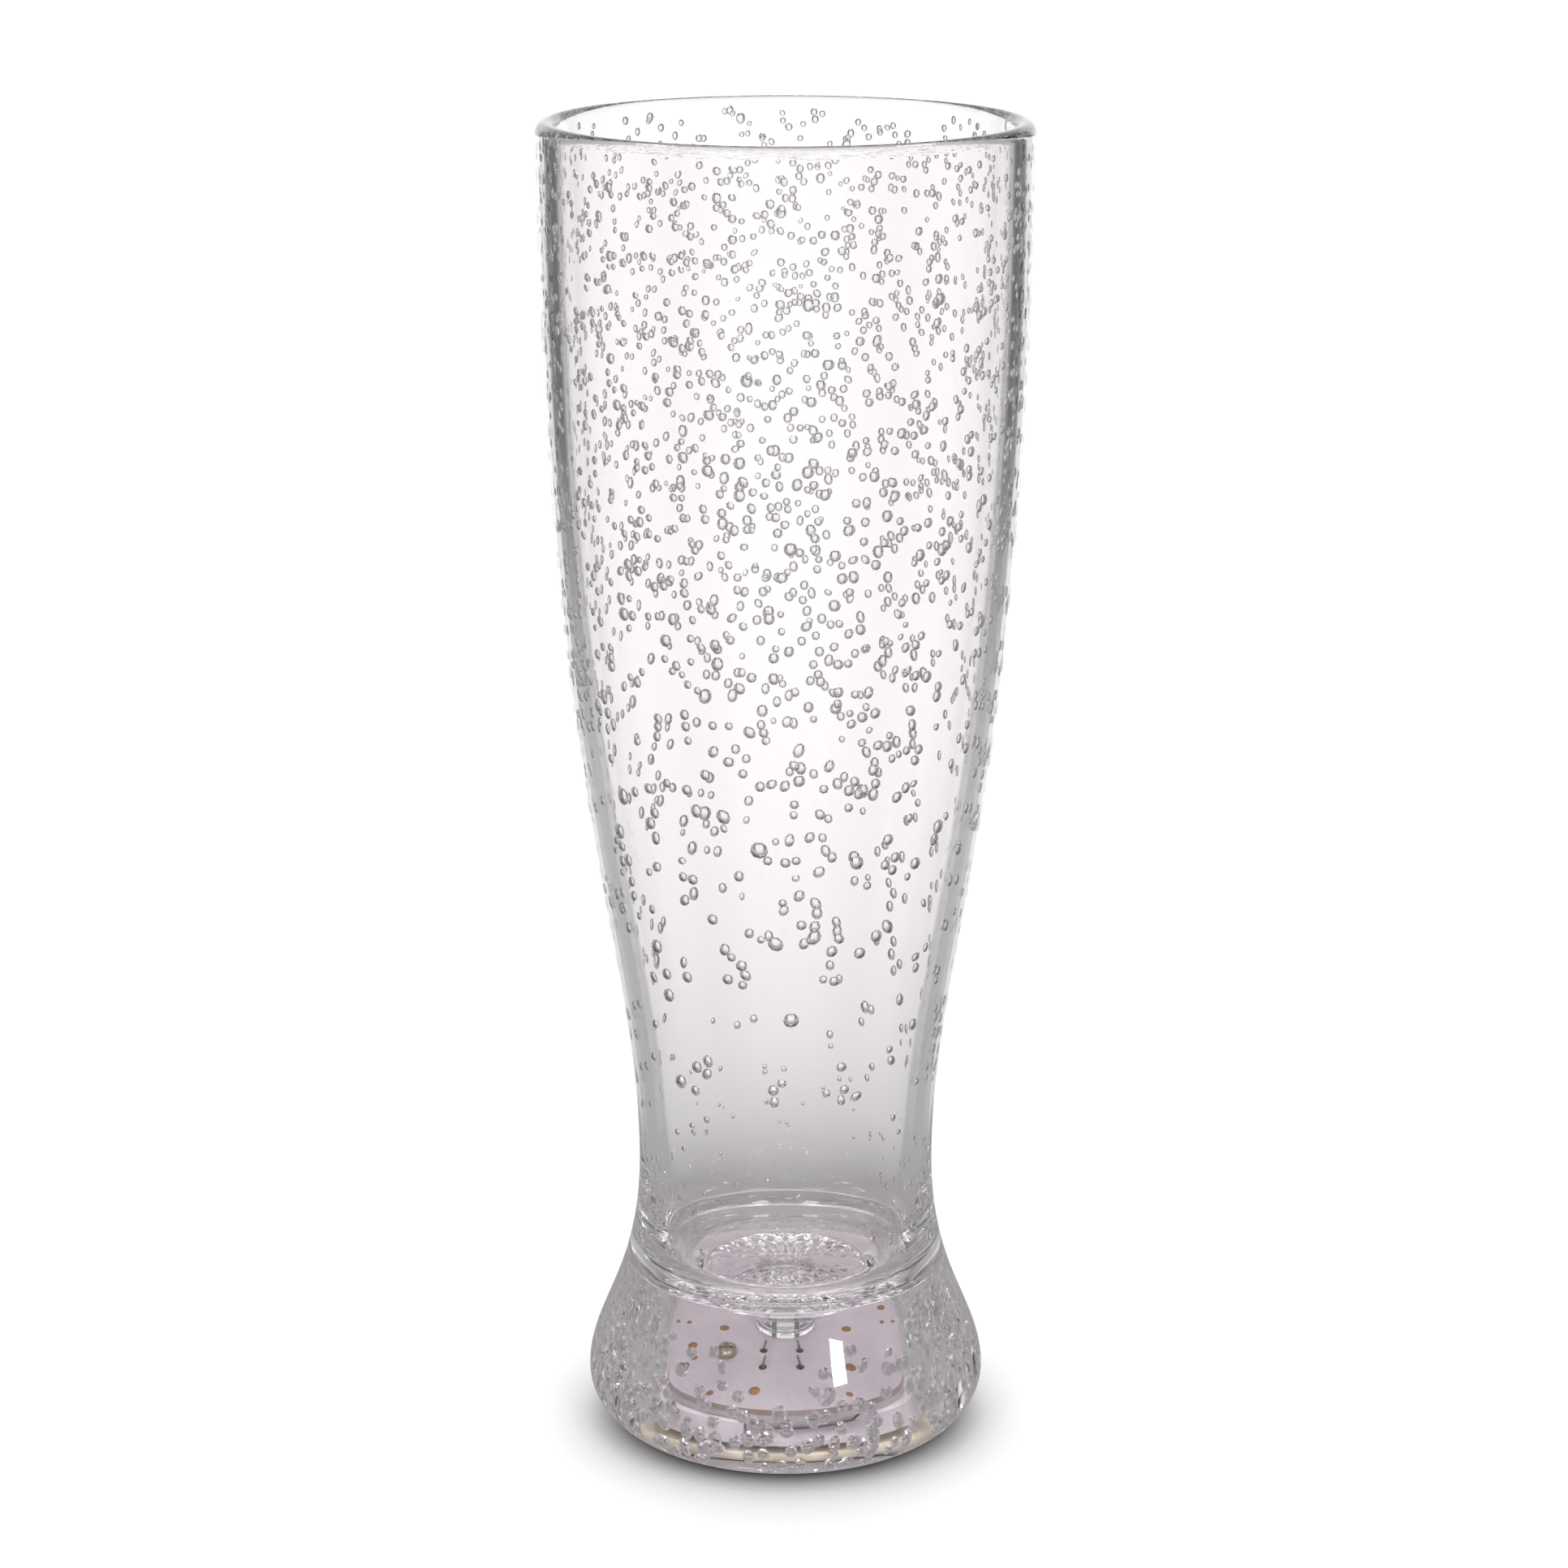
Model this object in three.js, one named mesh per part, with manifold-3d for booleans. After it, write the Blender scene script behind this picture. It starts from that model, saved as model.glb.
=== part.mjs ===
// Light-up pilsner glass: a clear acrylic cup bonded onto a flared acrylic base,
// with a battery lamp module that shines up through a cut rosette under the cup's floor.
// Millimetres, +Z up, origin at the centre of the foot on the table.
import * as THREE from 'three';
import { mergeVertices } from 'three/addons/utils/BufferGeometryUtils.js';
import Module from 'manifold-3d';

const wasm = await Module();
wasm.setup();

// Clearances
const fitGap = 0.3;
const stackGap = 0.2;

// Glass, outside
const glassHeight = 221;
const rimRadius = 39.8;
const waistRadius = 24.8;
const waistHeight = 47.3;
const baseRadius = 33.6;
const baseWidestHeight = 9.1;
const baseRollWidth = 12.5;
const bodyCurveLow = 37.4;
const bodyCurveHigh = 112;
const flareCurveLow = 9.8;
const flareCurveHigh = 22.3;

// Glass, inside
const rimWall = 3.5;
const waistWall = 3.1;
const innerDraft = 0.4;
const floorFillet = 5.6;
const lensThickness = 7.6;
const floorDrop = 2.7;
const spigotDepth = 2.8;
const spigotLip = 1;
const neckWall = 2.6;
const footRingWidth = 2.5;

// Cut rosette under the floor
const rosetteRadius = 14.7;
const rosetteBorder = 0.6;
const rosetteDepth = 0.9;
const rosettePetals = 16;
const rosetteRings = 5;

// Button cells and their contacts
const cellDiameter = 11.6;
const cellHeight = 5.4;
const cellCapDiameter = 9.4;
const cellCapHeight = 0.5;
const cellCount = 3;
const cellSpacing = 0.6;
const cellRowY = 3.5;
const contactThickness = 0.2;
const contactWidth = 5;
const riserWidth = 3;
const riserRoom = 1.2;

// Bottom cover and battery door
const coverRecess = 0.5;
const plateThickness = 1.5;
const doorFlange = 0.8;
const doorRabbet = 1;
const cradleWall = 1;
const coverStepMargin = 1.8;
const coverStepWall = 1.6;
const coverLedge = 1.8;
const skirtWall = 1.6;
const skirtNotchWidth = 20;
const skirtNotchDepth = 2.2;
const skirtNotchX = 3.7;
const sealHeight = 1.3;
const sealGroove = 1.6;
const sealFloorHeight = 4.1;
const sealLipHeight = 0.9;
const doorLugReach = 2.6;
const doorLugRadius = 3;
const doorLugThickness = 1.6;
const doorBossWall = 0.9;

// Circuit board and what stands on it
const boardThickness = 1.6;
const boardGap = 0.9;
const ledRadius = 5;
const ledFlangeRadius = 5.6;
const ledFlangeHeight = 1.2;
const ledHeight = 7.8;
const ledDomeHeight = 3.6;
const ledLeadPitch = 2.54;
const ledLeadWidth = 0.5;
const ledLeadRise = 3.4;
const ledAnvilWidth = 1.3;
const ledAnvilHeight = 1;
const leadTail = 0.3;
const lampGap = 1.8;
const chipRadius = 3.4;
const chipHeight = 1.5;
const chipX = 11.4;
const chipY = -7.4;
const spareHoleRadius = 0.95;
const wireHoleRadius = 0.55;

// Push switch and power button
const switchX = -0.7;
const switchY = -11.1;
const switchSide = 5.9;
const switchHeight = 3.5;
const switchCorner = 0.6;
const legPitchX = 6.5;
const legPitchY = 4.5;
const legWidth = 0.6;
const legThickness = 0.4;
const legTail = 1.9;
const legLean = 0.5;
const plungerRadius = 1.75;
const plungerReach = 1.1;
const plungerInside = 1.5;
const buttonRadius = 4.5;
const buttonFlange = 1.1;
const buttonFlangeHeight = 0.7;
const buttonDish = 0.4;
const buttonTravel = 0.8;

// Screws
const screwHeadRadius = 1.8;
const screwHeadHeight = 1.2;
const doorScrewHeadHeight = 0.7;
const screwShankRadius = 0.9;
const screwShankLength = 5.2;
const screwSlotWidth = 0.6;
const screwSlotDepth = 0.6;
const bossRadius = 2.3;
const boardScrewPlaces = [[-10.6, -9.4], [10.6, 13.5]];

// Facets
const roundSegments = 52;
const smallSegments = 18;
const holeSegments = 8;

// Stack of heights, from the table up to the seam between base and cup
const plateTop = coverRecess + plateThickness;
const lowContactZ = plateTop + stackGap;
const cellZ = lowContactZ + contactThickness + stackGap;
const highContactZ = cellZ + cellHeight + stackGap;
const boardZ = highContactZ + contactThickness + stackGap;
const boardTop = boardZ + boardThickness;
const ledZ = boardTop + stackGap;
const lensZ = ledZ + ledHeight + lampGap;
const floorZ = lensZ + lensThickness;
const seamZ = floorZ + floorDrop;
const shellTop = seamZ - stackGap;
const skirtTop = boardZ - stackGap;

// Cell row and the radii that grow out from it
const cellRadius = cellDiameter / 2;
const cellPitch = cellDiameter + cellSpacing;
const cradleEnd = (cellPitch * (cellCount - 1) + riserRoom) / 2;
const cellXs = Array.from({ length: cellCount }, (_, i) => i * cellPitch - cradleEnd);
const cradleRadius = cellRadius + fitGap;
const doorPlugRadius = cradleRadius - fitGap;
const doorFlangeRadius = doorPlugRadius + doorRabbet;
const doorRecessRadius = doorFlangeRadius + fitGap;
const coverStepRadius = Math.hypot(cradleEnd, cellRowY) + doorRecessRadius + coverStepMargin;
const coverRadius = coverStepRadius + coverLedge;
const chamberFootRadius = coverRadius + fitGap;
const footRadius = chamberFootRadius + footRingWidth;
const doorLugY = cellRowY + doorFlangeRadius + doorLugReach;

// Outer outline: a rolled foot, a flare that draws in to the waist, and the long body
const lipHeight = rimWall / 2;
const lipZ = glassHeight - lipHeight;
const rollCentre = baseRadius - baseRollWidth;
const rollAngle = Math.acos((footRadius - rollCentre) / baseRollWidth);
const rollHeight = baseWidestHeight / Math.sin(rollAngle);
const flareCurve = new THREE.CubicBezierCurve(
  new THREE.Vector2(baseRadius, baseWidestHeight),
  new THREE.Vector2(baseRadius, baseWidestHeight + flareCurveLow),
  new THREE.Vector2(waistRadius, waistHeight - flareCurveHigh),
  new THREE.Vector2(waistRadius, waistHeight),
);
const bodyCurve = new THREE.CubicBezierCurve(
  new THREE.Vector2(waistRadius, waistHeight),
  new THREE.Vector2(waistRadius, waistHeight + bodyCurveLow),
  new THREE.Vector2(rimRadius, lipZ - bodyCurveHigh),
  new THREE.Vector2(rimRadius, lipZ),
);

// Curve parameter at a height, by halving the interval
function parameterAt(curve, z) {
  let low = 0;
  let high = 1;
  for (let i = 0; i < 40; i += 1) {
    const middle = (low + high) / 2;
    if (curve.getPoint(middle).y < z) low = middle;
    else high = middle;
  }
  return (low + high) / 2;
}

function outerRadiusAt(z) {
  const curve = z < waistHeight ? flareCurve : bodyCurve;
  return curve.getPoint(parameterAt(curve, z)).x;
}

function curvePoints(curve, from, to, steps) {
  return Array.from({ length: steps + 1 }, (_, i) => curve.getPoint(from + ((to - from) * i) / steps));
}

// Chamber wall in the base: straight from the foot opening up to the neck under the seam
const neckRadius = outerRadiusAt(shellTop) - neckWall;

function chamberRadiusAt(z) {
  return THREE.MathUtils.lerp(chamberFootRadius, neckRadius, z / shellTop);
}

// Cup wall: thins evenly from rim to waist, then runs down with a little draft
const waistInner = waistRadius - waistWall;
const cornerRadius = waistInner - innerDraft;
const filletTop = floorZ + floorFillet;

function innerRadiusAt(z) {
  if (z < waistHeight) {
    return THREE.MathUtils.mapLinear(z, filletTop, waistHeight, cornerRadius, waistInner);
  }
  return outerRadiusAt(z) - THREE.MathUtils.mapLinear(z, waistHeight, lipZ, waistWall, rimWall);
}

// Points of an arc from one angle to another, in the radius and height plane
function arcPoints(r, z, radiusR, radiusZ, from, to, steps) {
  return Array.from({ length: steps + 1 }, (_, i) => {
    const angle = from + ((to - from) * i) / steps;
    return new THREE.Vector2(r + radiusR * Math.cos(angle), z + radiusZ * Math.sin(angle));
  });
}

// Solids from geometry and back, for joining and cutting
function toSolid(geometry) {
  const bare = geometry.index ? geometry.toNonIndexed() : geometry.clone();
  for (const name of Object.keys(bare.attributes)) {
    if (name !== 'position') bare.deleteAttribute(name);
  }
  const merged = mergeVertices(bare, 1e-4);
  const corners = merged.index.array;
  const triVerts = [];
  for (let i = 0; i < corners.length; i += 3) {
    const [a, b, c] = [corners[i], corners[i + 1], corners[i + 2]];
    if (a !== b && b !== c && c !== a) triVerts.push(a, b, c);
  }
  return new wasm.Manifold(new wasm.Mesh({
    numProp: 3,
    vertProperties: new Float32Array(merged.attributes.position.array),
    triVerts: new Uint32Array(triVerts),
  }));
}

function toGeometry(solid) {
  const result = solid.getMesh();
  const geometry = new THREE.BufferGeometry();
  geometry.setAttribute('position', new THREE.BufferAttribute(result.vertProperties, 3));
  geometry.setIndex(new THREE.BufferAttribute(result.triVerts, 1));
  geometry.computeVertexNormals();
  return geometry;
}

function join(...geometries) {
  return toGeometry(geometries.map(toSolid).reduce((a, b) => a.add(b)));
}

function cut(geometry, ...tools) {
  return toGeometry(tools.map(toSolid).reduce((a, b) => a.subtract(b), toSolid(geometry)));
}

// Round piece about the Z axis from points of radius and height
function revolve(points, segments = roundSegments) {
  return new THREE.LatheGeometry(points, segments).rotateX(Math.PI / 2);
}

function profile(...pairs) {
  return pairs.map(([r, z]) => new THREE.Vector2(r, z));
}

function disc(radius, bottom, top, x = 0, y = 0, segments = smallSegments) {
  const height = top - bottom;
  return new THREE.CylinderGeometry(radius, radius, height, segments)
    .rotateX(Math.PI / 2)
    .translate(x, y, bottom + height / 2);
}

function block(width, depth, bottom, top, x = 0, y = 0) {
  return new THREE.BoxGeometry(width, depth, top - bottom).translate(x, y, (bottom + top) / 2);
}

function plate(shape, bottom, top) {
  return new THREE.ExtrudeGeometry(shape, { depth: top - bottom, bevelEnabled: false, curveSegments: 7 })
    .translate(0, 0, bottom);
}

// Long round-ended outline along the cell row between two end centres
function roundEnded(fromX, toX, radius) {
  const shape = new THREE.Shape();
  shape.absarc(toX, cellRowY, radius, -Math.PI / 2, Math.PI / 2, false);
  shape.absarc(fromX, cellRowY, radius, Math.PI / 2, (3 * Math.PI) / 2, false);
  shape.closePath();
  return shape;
}

// Outline round the whole cell row
function rowOutline(radius) {
  return roundEnded(-cradleEnd, cradleEnd, radius);
}

// Finishes
function finish(color, roughness, metalness = 0, opacity = 1) {
  return new THREE.MeshStandardMaterial({ color, roughness, metalness, opacity, transparent: opacity < 1 });
}

const clearAcrylic = finish('#e9e6ee', 0.05, 0, 0.3);
const clearEpoxy = finish('#e6e8ec', 0.08, 0, 0.45);
const whiteAbs = finish('#ece8ea', 0.45);
const greyAbs = finish('#c9c6c8', 0.5);
const creamSilicone = finish('#eee6d2', 0.6);
const whiteBoard = finish('#d8d0da', 0.5);
const blackPlastic = finish('#1d1d1f', 0.55);
const nickelSteel = finish('#b9b2a2', 0.3, 1);
const tinnedWire = finish('#a9a59c', 0.35, 1);
const cellSteel = finish('#c6c7c9', 0.25, 1);

const glass = new THREE.Group();

function addPiece(name, geometry, material, parent = glass) {
  const mesh = new THREE.Mesh(geometry, material);
  mesh.name = name;
  parent.add(mesh);
  return mesh;
}

// Faceted star of diamonds, as a low relief that stands up from the lens face.
// Corners of the polar grid rise and fall in turn, so each ring's facets lean across the next.
function rosetteRelief() {
  const spokes = rosettePetals * 2;
  const below = lensZ - rosetteDepth;
  const points = [0, 0, below, 0, 0, lensZ];
  const ringCount = rosetteRings + 1;
  for (let ring = 1; ring <= ringCount; ring += 1) {
    const radius = (rosetteRadius - rosetteBorder) * (ring / ringCount);
    for (let spoke = 0; spoke < spokes; spoke += 1) {
      const angle = (2 * Math.PI * spoke) / spokes;
      const raised = ring < ringCount && (ring + spoke) % 2 === 0;
      const height = raised ? lensZ + rosetteDepth : lensZ;
      points.push(radius * Math.cos(angle), radius * Math.sin(angle), height);
    }
  }
  const floorStart = points.length / 3;
  for (let spoke = 0; spoke < spokes; spoke += 1) {
    const edge = 3 * (2 + (ringCount - 1) * spokes + spoke);
    points.push(points[edge], points[edge + 1], below);
  }
  const at = (ring, spoke) => (ring === 0 ? 1 : 2 + (ring - 1) * spokes + (spoke % spokes));
  const faces = [];
  for (let spoke = 0; spoke < spokes; spoke += 1) {
    faces.push(at(0, 0), at(1, spoke), at(1, spoke + 1));
    for (let ring = 1; ring < ringCount; ring += 1) {
      const corners = [at(ring, spoke), at(ring + 1, spoke), at(ring + 1, spoke + 1), at(ring, spoke + 1)];
      const turn = (ring + spoke) % 2;
      const [a, b, c, d] = [0, 1, 2, 3].map((i) => corners[(i + turn) % 4]);
      faces.push(a, b, c, a, c, d);
    }
    const low = floorStart + spoke;
    const nextLow = floorStart + ((spoke + 1) % spokes);
    faces.push(at(ringCount, spoke), low, nextLow, at(ringCount, spoke), nextLow, at(ringCount, spoke + 1));
    faces.push(0, nextLow, low);
  }
  const geometry = new THREE.BufferGeometry();
  geometry.setAttribute('position', new THREE.Float32BufferAttribute(points, 3));
  geometry.setIndex(faces);
  return geometry;
}

// Cup: thick lens floor with a spigot into the base, waisted body and a full round lip
function cupGeometry() {
  const spigotRadius = chamberRadiusAt(seamZ) - fitGap;
  const spigotZ = seamZ - spigotDepth;
  const filletCentre = cornerRadius - floorFillet;
  const innerSteps = 11;
  const inside = Array.from({ length: innerSteps + 1 }, (_, i) => {
    const z = THREE.MathUtils.lerp(lipZ, filletTop, i / innerSteps);
    return new THREE.Vector2(innerRadiusAt(z), z);
  });
  const outline = [
    ...profile([0, lensZ], [rosetteRadius, lensZ], [spigotRadius - spigotLip, spigotZ]),
    ...profile([spigotRadius, spigotZ], [spigotRadius, seamZ]),
    ...curvePoints(flareCurve, parameterAt(flareCurve, seamZ), 1, 5),
    ...curvePoints(bodyCurve, 0, 1, 13).slice(1),
    ...arcPoints(rimRadius - lipHeight, lipZ, lipHeight, lipHeight, 0, Math.PI, 6).slice(1, -1),
    ...inside,
    ...arcPoints(filletCentre, filletTop, floorFillet, floorFillet, 0, -Math.PI / 2, 4).slice(1),
    ...profile([0, floorZ]),
  ];
  return cut(revolve(outline), rosetteRelief());
}

// Base: flared hollow ring that the cup's spigot closes from above and the cover from below
function baseShellGeometry() {
  const outline = [
    ...arcPoints(rollCentre, baseWidestHeight, baseRollWidth, rollHeight, -rollAngle, 0, 5),
    ...curvePoints(flareCurve, 0, parameterAt(flareCurve, shellTop), 7).slice(1),
    ...profile([chamberRadiusAt(shellTop), shellTop], [chamberRadiusAt(0), 0]),
  ];
  outline[0].y = 0;
  return revolve([...outline, outline[0].clone()]);
}

addPiece('cup', cupGeometry(), clearAcrylic);
addPiece('base_shell', baseShellGeometry(), clearAcrylic);

// Bottom cover: stepped dish with a notched board skirt, seal groove, cell cradle, bosses and button hole
const sealTop = sealFloorHeight + sealGroove;
const sealGrooveRadius = coverStepRadius;
const coverInner = coverStepRadius - coverStepWall;
const buttonHoleRadius = buttonRadius + fitGap;
const pilotRadius = screwShankRadius + fitGap;
const doorBossRadius = doorLugRadius + fitGap + doorBossWall;
const doorScrewTop = coverRecess + doorScrewHeadHeight + screwShankLength;

// Bridge between the door's long edge and its screw lug
function lugWeb(halfWidth, bottom, top) {
  const reach = doorLugReach + doorRabbet;
  return block(2 * halfWidth, reach, bottom, top, 0, doorLugY - reach / 2);
}

function coverGeometry() {
  const skirtInner = chamberRadiusAt(skirtTop) - fitGap - skirtWall;
  const body = revolve(profile(
    [0, coverRecess],
    [coverStepRadius, coverRecess],
    [coverStepRadius, sealFloorHeight - sealLipHeight],
    [coverStepRadius + sealLipHeight, sealFloorHeight - sealLipHeight],
    [coverStepRadius + sealLipHeight, sealFloorHeight],
    [sealGrooveRadius, sealFloorHeight],
    [sealGrooveRadius, sealTop],
    [chamberRadiusAt(sealTop) - fitGap, sealTop],
    [chamberRadiusAt(skirtTop) - fitGap, skirtTop],
    [skirtInner, skirtTop],
    [coverInner, sealTop],
    [coverInner, plateTop],
    [0, plateTop],
  ));
  const bosses = boardScrewPlaces.map(([x, y]) => disc(bossRadius, coverRecess, skirtTop, x, y));
  const doorBoss = disc(doorBossRadius, coverRecess, doorScrewTop + fitGap, 0, doorLugY);
  const cradle = plate(rowOutline(cradleRadius + cradleWall), coverRecess, highContactZ - stackGap);
  const openings = [
    plate(rowOutline(cradleRadius), 0, skirtTop + boardThickness),
    plate(rowOutline(doorRecessRadius), 0, coverRecess + doorFlange + stackGap),
    disc(doorLugRadius + fitGap, 0, coverRecess + doorLugThickness + stackGap, 0, doorLugY),
    lugWeb(doorLugRadius + fitGap, 0, coverRecess + doorFlange + stackGap),
    disc(pilotRadius, 0, doorScrewTop + boardZ, 0, doorLugY),
    disc(buttonHoleRadius, 0, plateTop + buttonFlangeHeight, switchX, switchY, roundSegments / 2),
    ...boardScrewPlaces.map(([x, y]) => disc(pilotRadius, plateTop, boardTop, x, y)),
    block(skirtNotchWidth, coverRadius / 2, skirtTop - skirtNotchDepth, boardTop, skirtNotchX, -coverRadius),
  ];
  return cut(join(body, ...bosses, doorBoss, cradle), ...openings);
}

// Seal ring between cover and base
function sealGeometry() {
  const bottom = sealFloorHeight + (sealGroove - sealHeight) / 2;
  const top = bottom + sealHeight;
  const inner = sealGrooveRadius + stackGap;
  const outer = Math.min(chamberRadiusAt(bottom), chamberRadiusAt(top)) - stackGap;
  return revolve(profile([inner, bottom], [outer, bottom], [outer, top], [inner, top], [inner, bottom]));
}

addPiece('bottom_cover', coverGeometry(), whiteAbs);
addPiece('cover_seal', sealGeometry(), creamSilicone);

// Battery door: flanged plug with a screw lug on its long side
function doorGeometry() {
  const flange = plate(rowOutline(doorFlangeRadius), coverRecess, coverRecess + doorFlange);
  const plug = plate(rowOutline(doorPlugRadius), coverRecess, plateTop);
  const lug = disc(doorLugRadius, coverRecess, coverRecess + doorLugThickness, 0, doorLugY);
  const screwHole = disc(pilotRadius, 0, plateTop + doorLugThickness, 0, doorLugY);
  const headSeatTop = coverRecess + doorScrewHeadHeight + stackGap;
  const headSeat = disc(screwHeadRadius + fitGap, 0, headSeatTop, 0, doorLugY);
  const web = lugWeb(doorLugRadius, coverRecess, coverRecess + doorFlange);
  return cut(join(flange, plug, web, lug), screwHole, headSeat);
}

// Pan head screw, head up, with a cross recess; local origin under the head
function screwGeometry(headHeight) {
  const crown = headHeight / 3;
  const outline = profile(
    [0, -screwShankLength],
    [screwShankRadius / 2, -screwShankLength],
    [screwShankRadius, -screwShankLength + screwShankRadius],
    [screwShankRadius, 0],
    [screwHeadRadius, 0],
    [screwHeadRadius, headHeight - crown],
    [screwHeadRadius - crown, headHeight],
    [0, headHeight],
  );
  const recessFloor = headHeight - Math.min(screwSlotDepth, headHeight / 2);
  const slotLength = 1.4 * screwHeadRadius;
  const crossed = join(
    block(slotLength, screwSlotWidth, recessFloor, 2 * headHeight),
    block(screwSlotWidth, slotLength, recessFloor, 2 * headHeight),
  );
  return cut(revolve(outline, smallSegments), crossed);
}

addPiece('battery_door', doorGeometry(), whiteAbs);
const doorScrew = addPiece('door_screw', screwGeometry(doorScrewHeadHeight), nickelSteel);
doorScrew.rotation.x = Math.PI;
doorScrew.position.set(0, doorLugY, coverRecess + doorScrewHeadHeight);

boardScrewPlaces.forEach(([x, y], i) => {
  const screw = addPiece(`board_screw_${i + 1}`, screwGeometry(screwHeadHeight), nickelSteel);
  screw.position.set(x, y, boardTop + stackGap);
});

// Button cell: can with a narrower cap, standing on the cap
function cellGeometry() {
  const bevel = 0.4;
  const capRadius = cellCapDiameter / 2;
  return revolve(profile(
    [0, 0],
    [capRadius, 0],
    [capRadius, cellCapHeight],
    [cellRadius - bevel, cellCapHeight],
    [cellRadius, cellCapHeight + bevel],
    [cellRadius, cellHeight - bevel],
    [cellRadius - bevel, cellHeight],
    [0, cellHeight],
  ), smallSegments);
}

// The middle cell is turned over, so the three join in series
cellXs.forEach((x, i) => {
  const turned = i % 2 === 1;
  const cell = addPiece(`button_cell_${i + 1}`, cellGeometry(), cellSteel);
  cell.rotation.x = turned ? Math.PI : 0;
  cell.position.set(x, cellRowY, turned ? cellZ + cellHeight : cellZ);
});

// Contact strips above and below the cells, and the last one's riser up to the board
const stripRadius = contactWidth / 2;
const [cellFirst, cellMiddle] = cellXs;
const cellLast = cellXs[cellCount - 1];

function stripGeometry(fromX, toX, bottom) {
  return plate(roundEnded(fromX, toX, stripRadius), bottom, bottom + contactThickness);
}

function riserGeometry() {
  const riserX = cellLast + cellRadius + riserRoom / 2;
  const foot = stripGeometry(cellLast, cellLast, lowContactZ);
  const footTop = lowContactZ + contactThickness;
  const arm = block(riserX - cellLast, riserWidth, lowContactZ, footTop, (riserX + cellLast) / 2, cellRowY);
  const riser = block(contactThickness, riserWidth, lowContactZ, boardZ - stackGap, riserX, cellRowY);
  return join(foot, arm, riser);
}

addPiece('contact_positive', stripGeometry(cellFirst, cellFirst + stripRadius, highContactZ), tinnedWire);
addPiece('contact_link_low', stripGeometry(cellFirst, cellMiddle, lowContactZ), tinnedWire);
addPiece('contact_link_high', stripGeometry(cellMiddle, cellLast, highContactZ), tinnedWire);
addPiece('contact_negative', riserGeometry(), tinnedWire);

// Circuit board: round, on the cover's skirt and bosses, drilled for parts and with spare holes.
// Spare holes are given by their distance in from the edge and their bearing in degrees.
const boardRadius = chamberRadiusAt(boardTop) - boardGap;
const ledLeadXs = [-ledLeadPitch / 2, ledLeadPitch / 2];
const legPlaces = [[-1, -1], [1, -1], [-1, 1], [1, 1]].map(([sideX, sideY]) => [
  switchX + (sideX * legPitchX) / 2,
  switchY + (sideY * legPitchY) / 2,
]);
const spareHoles = [
  [11.7, 188], [11.7, 350], [3.9, 255], [6.3, 311], [2.2, 214], [4.8, 202], [3.4, 15],
];
const wireHoles = [
  [4.3, 212], [3.8, 237], [1.5, 237], [4.2, 285], [1.8, 285], [1.9, 298],
  [4.4, 0], [1.7, 0], [4.4, 180], [1.7, 180],
];

function boardGeometry() {
  const drill = (x, y, radius) => disc(radius, 0, boardTop + boardThickness, x, y, holeSegments);
  const drillPolar = ([inset, bearing], radius) => {
    const angle = THREE.MathUtils.degToRad(bearing);
    return drill((boardRadius - inset) * Math.cos(angle), (boardRadius - inset) * Math.sin(angle), radius);
  };
  const drills = [
    ...boardScrewPlaces.map(([x, y]) => drill(x, y, pilotRadius)),
    ...ledLeadXs.map((x) => drill(x, 0, ledLeadWidth / Math.SQRT2 + fitGap)),
    ...legPlaces.map(([x, y]) => drill(x, y, legWidth / Math.SQRT2 + fitGap)),
    ...spareHoles.map((place) => drillPolar(place, spareHoleRadius)),
    ...wireHoles.map((place) => drillPolar(place, wireHoleRadius)),
  ];
  return cut(disc(boardRadius, boardZ, boardTop, 0, 0, roundSegments), ...drills);
}

addPiece('circuit_board', boardGeometry(), whiteBoard);

// Lamp: clear low-dome LED with a flange; its two leads run up inside it and down through the board
const anvilTop = ledZ + ledLeadRise;

function leadGeometry(x, topWidth) {
  const post = block(ledLeadWidth, ledLeadWidth, boardZ - leadTail, anvilTop, x, 0);
  const anvil = block(topWidth, ledLeadWidth, anvilTop - ledAnvilHeight, anvilTop, x, 0);
  return join(post, anvil);
}

function ledGeometry() {
  const domeZ = ledZ + ledHeight - ledDomeHeight;
  const dome = arcPoints(0, domeZ, ledRadius, ledDomeHeight, 0, Math.PI / 2, 6).slice(0, -1);
  const body = revolve([
    ...profile([0, ledZ], [ledFlangeRadius, ledZ], [ledFlangeRadius, ledZ + ledFlangeHeight]),
    ...profile([ledRadius, ledZ + ledFlangeHeight]),
    ...dome,
    ...profile([0, ledZ + ledHeight]),
  ], smallSegments + 8);
  const pocketWidth = ledLeadPitch + ledAnvilWidth + 2 * fitGap;
  const pocket = block(pocketWidth, ledLeadWidth + 2 * fitGap, boardZ, anvilTop + fitGap);
  return cut(body, pocket);
}

addPiece('led_body', ledGeometry(), clearEpoxy);
addPiece('led_anode_lead', leadGeometry(ledLeadXs[0], ledLeadWidth * 1.5), tinnedWire);
addPiece('led_cathode_lead', leadGeometry(ledLeadXs[1], ledAnvilWidth), tinnedWire);

// Controller under a dome of black resin, on the board's lower face
function chipGeometry() {
  const dome = arcPoints(0, 0, chipRadius, chipHeight, -Math.PI / 2, 0, 5).slice(1);
  return revolve([...profile([0, -chipHeight]), ...dome, ...profile([0, 0])], smallSegments);
}

addPiece('controller_chip', chipGeometry(), blackPlastic).position.set(chipX, chipY, boardZ - stackGap);

// Push switch hung under the board, with its plunger down and four legs soldered through
const switchTop = boardZ - stackGap;
const switchBottom = switchTop - switchHeight;
const plungerTip = switchBottom - plungerReach;
const plungerTop = switchBottom + plungerInside;

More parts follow.
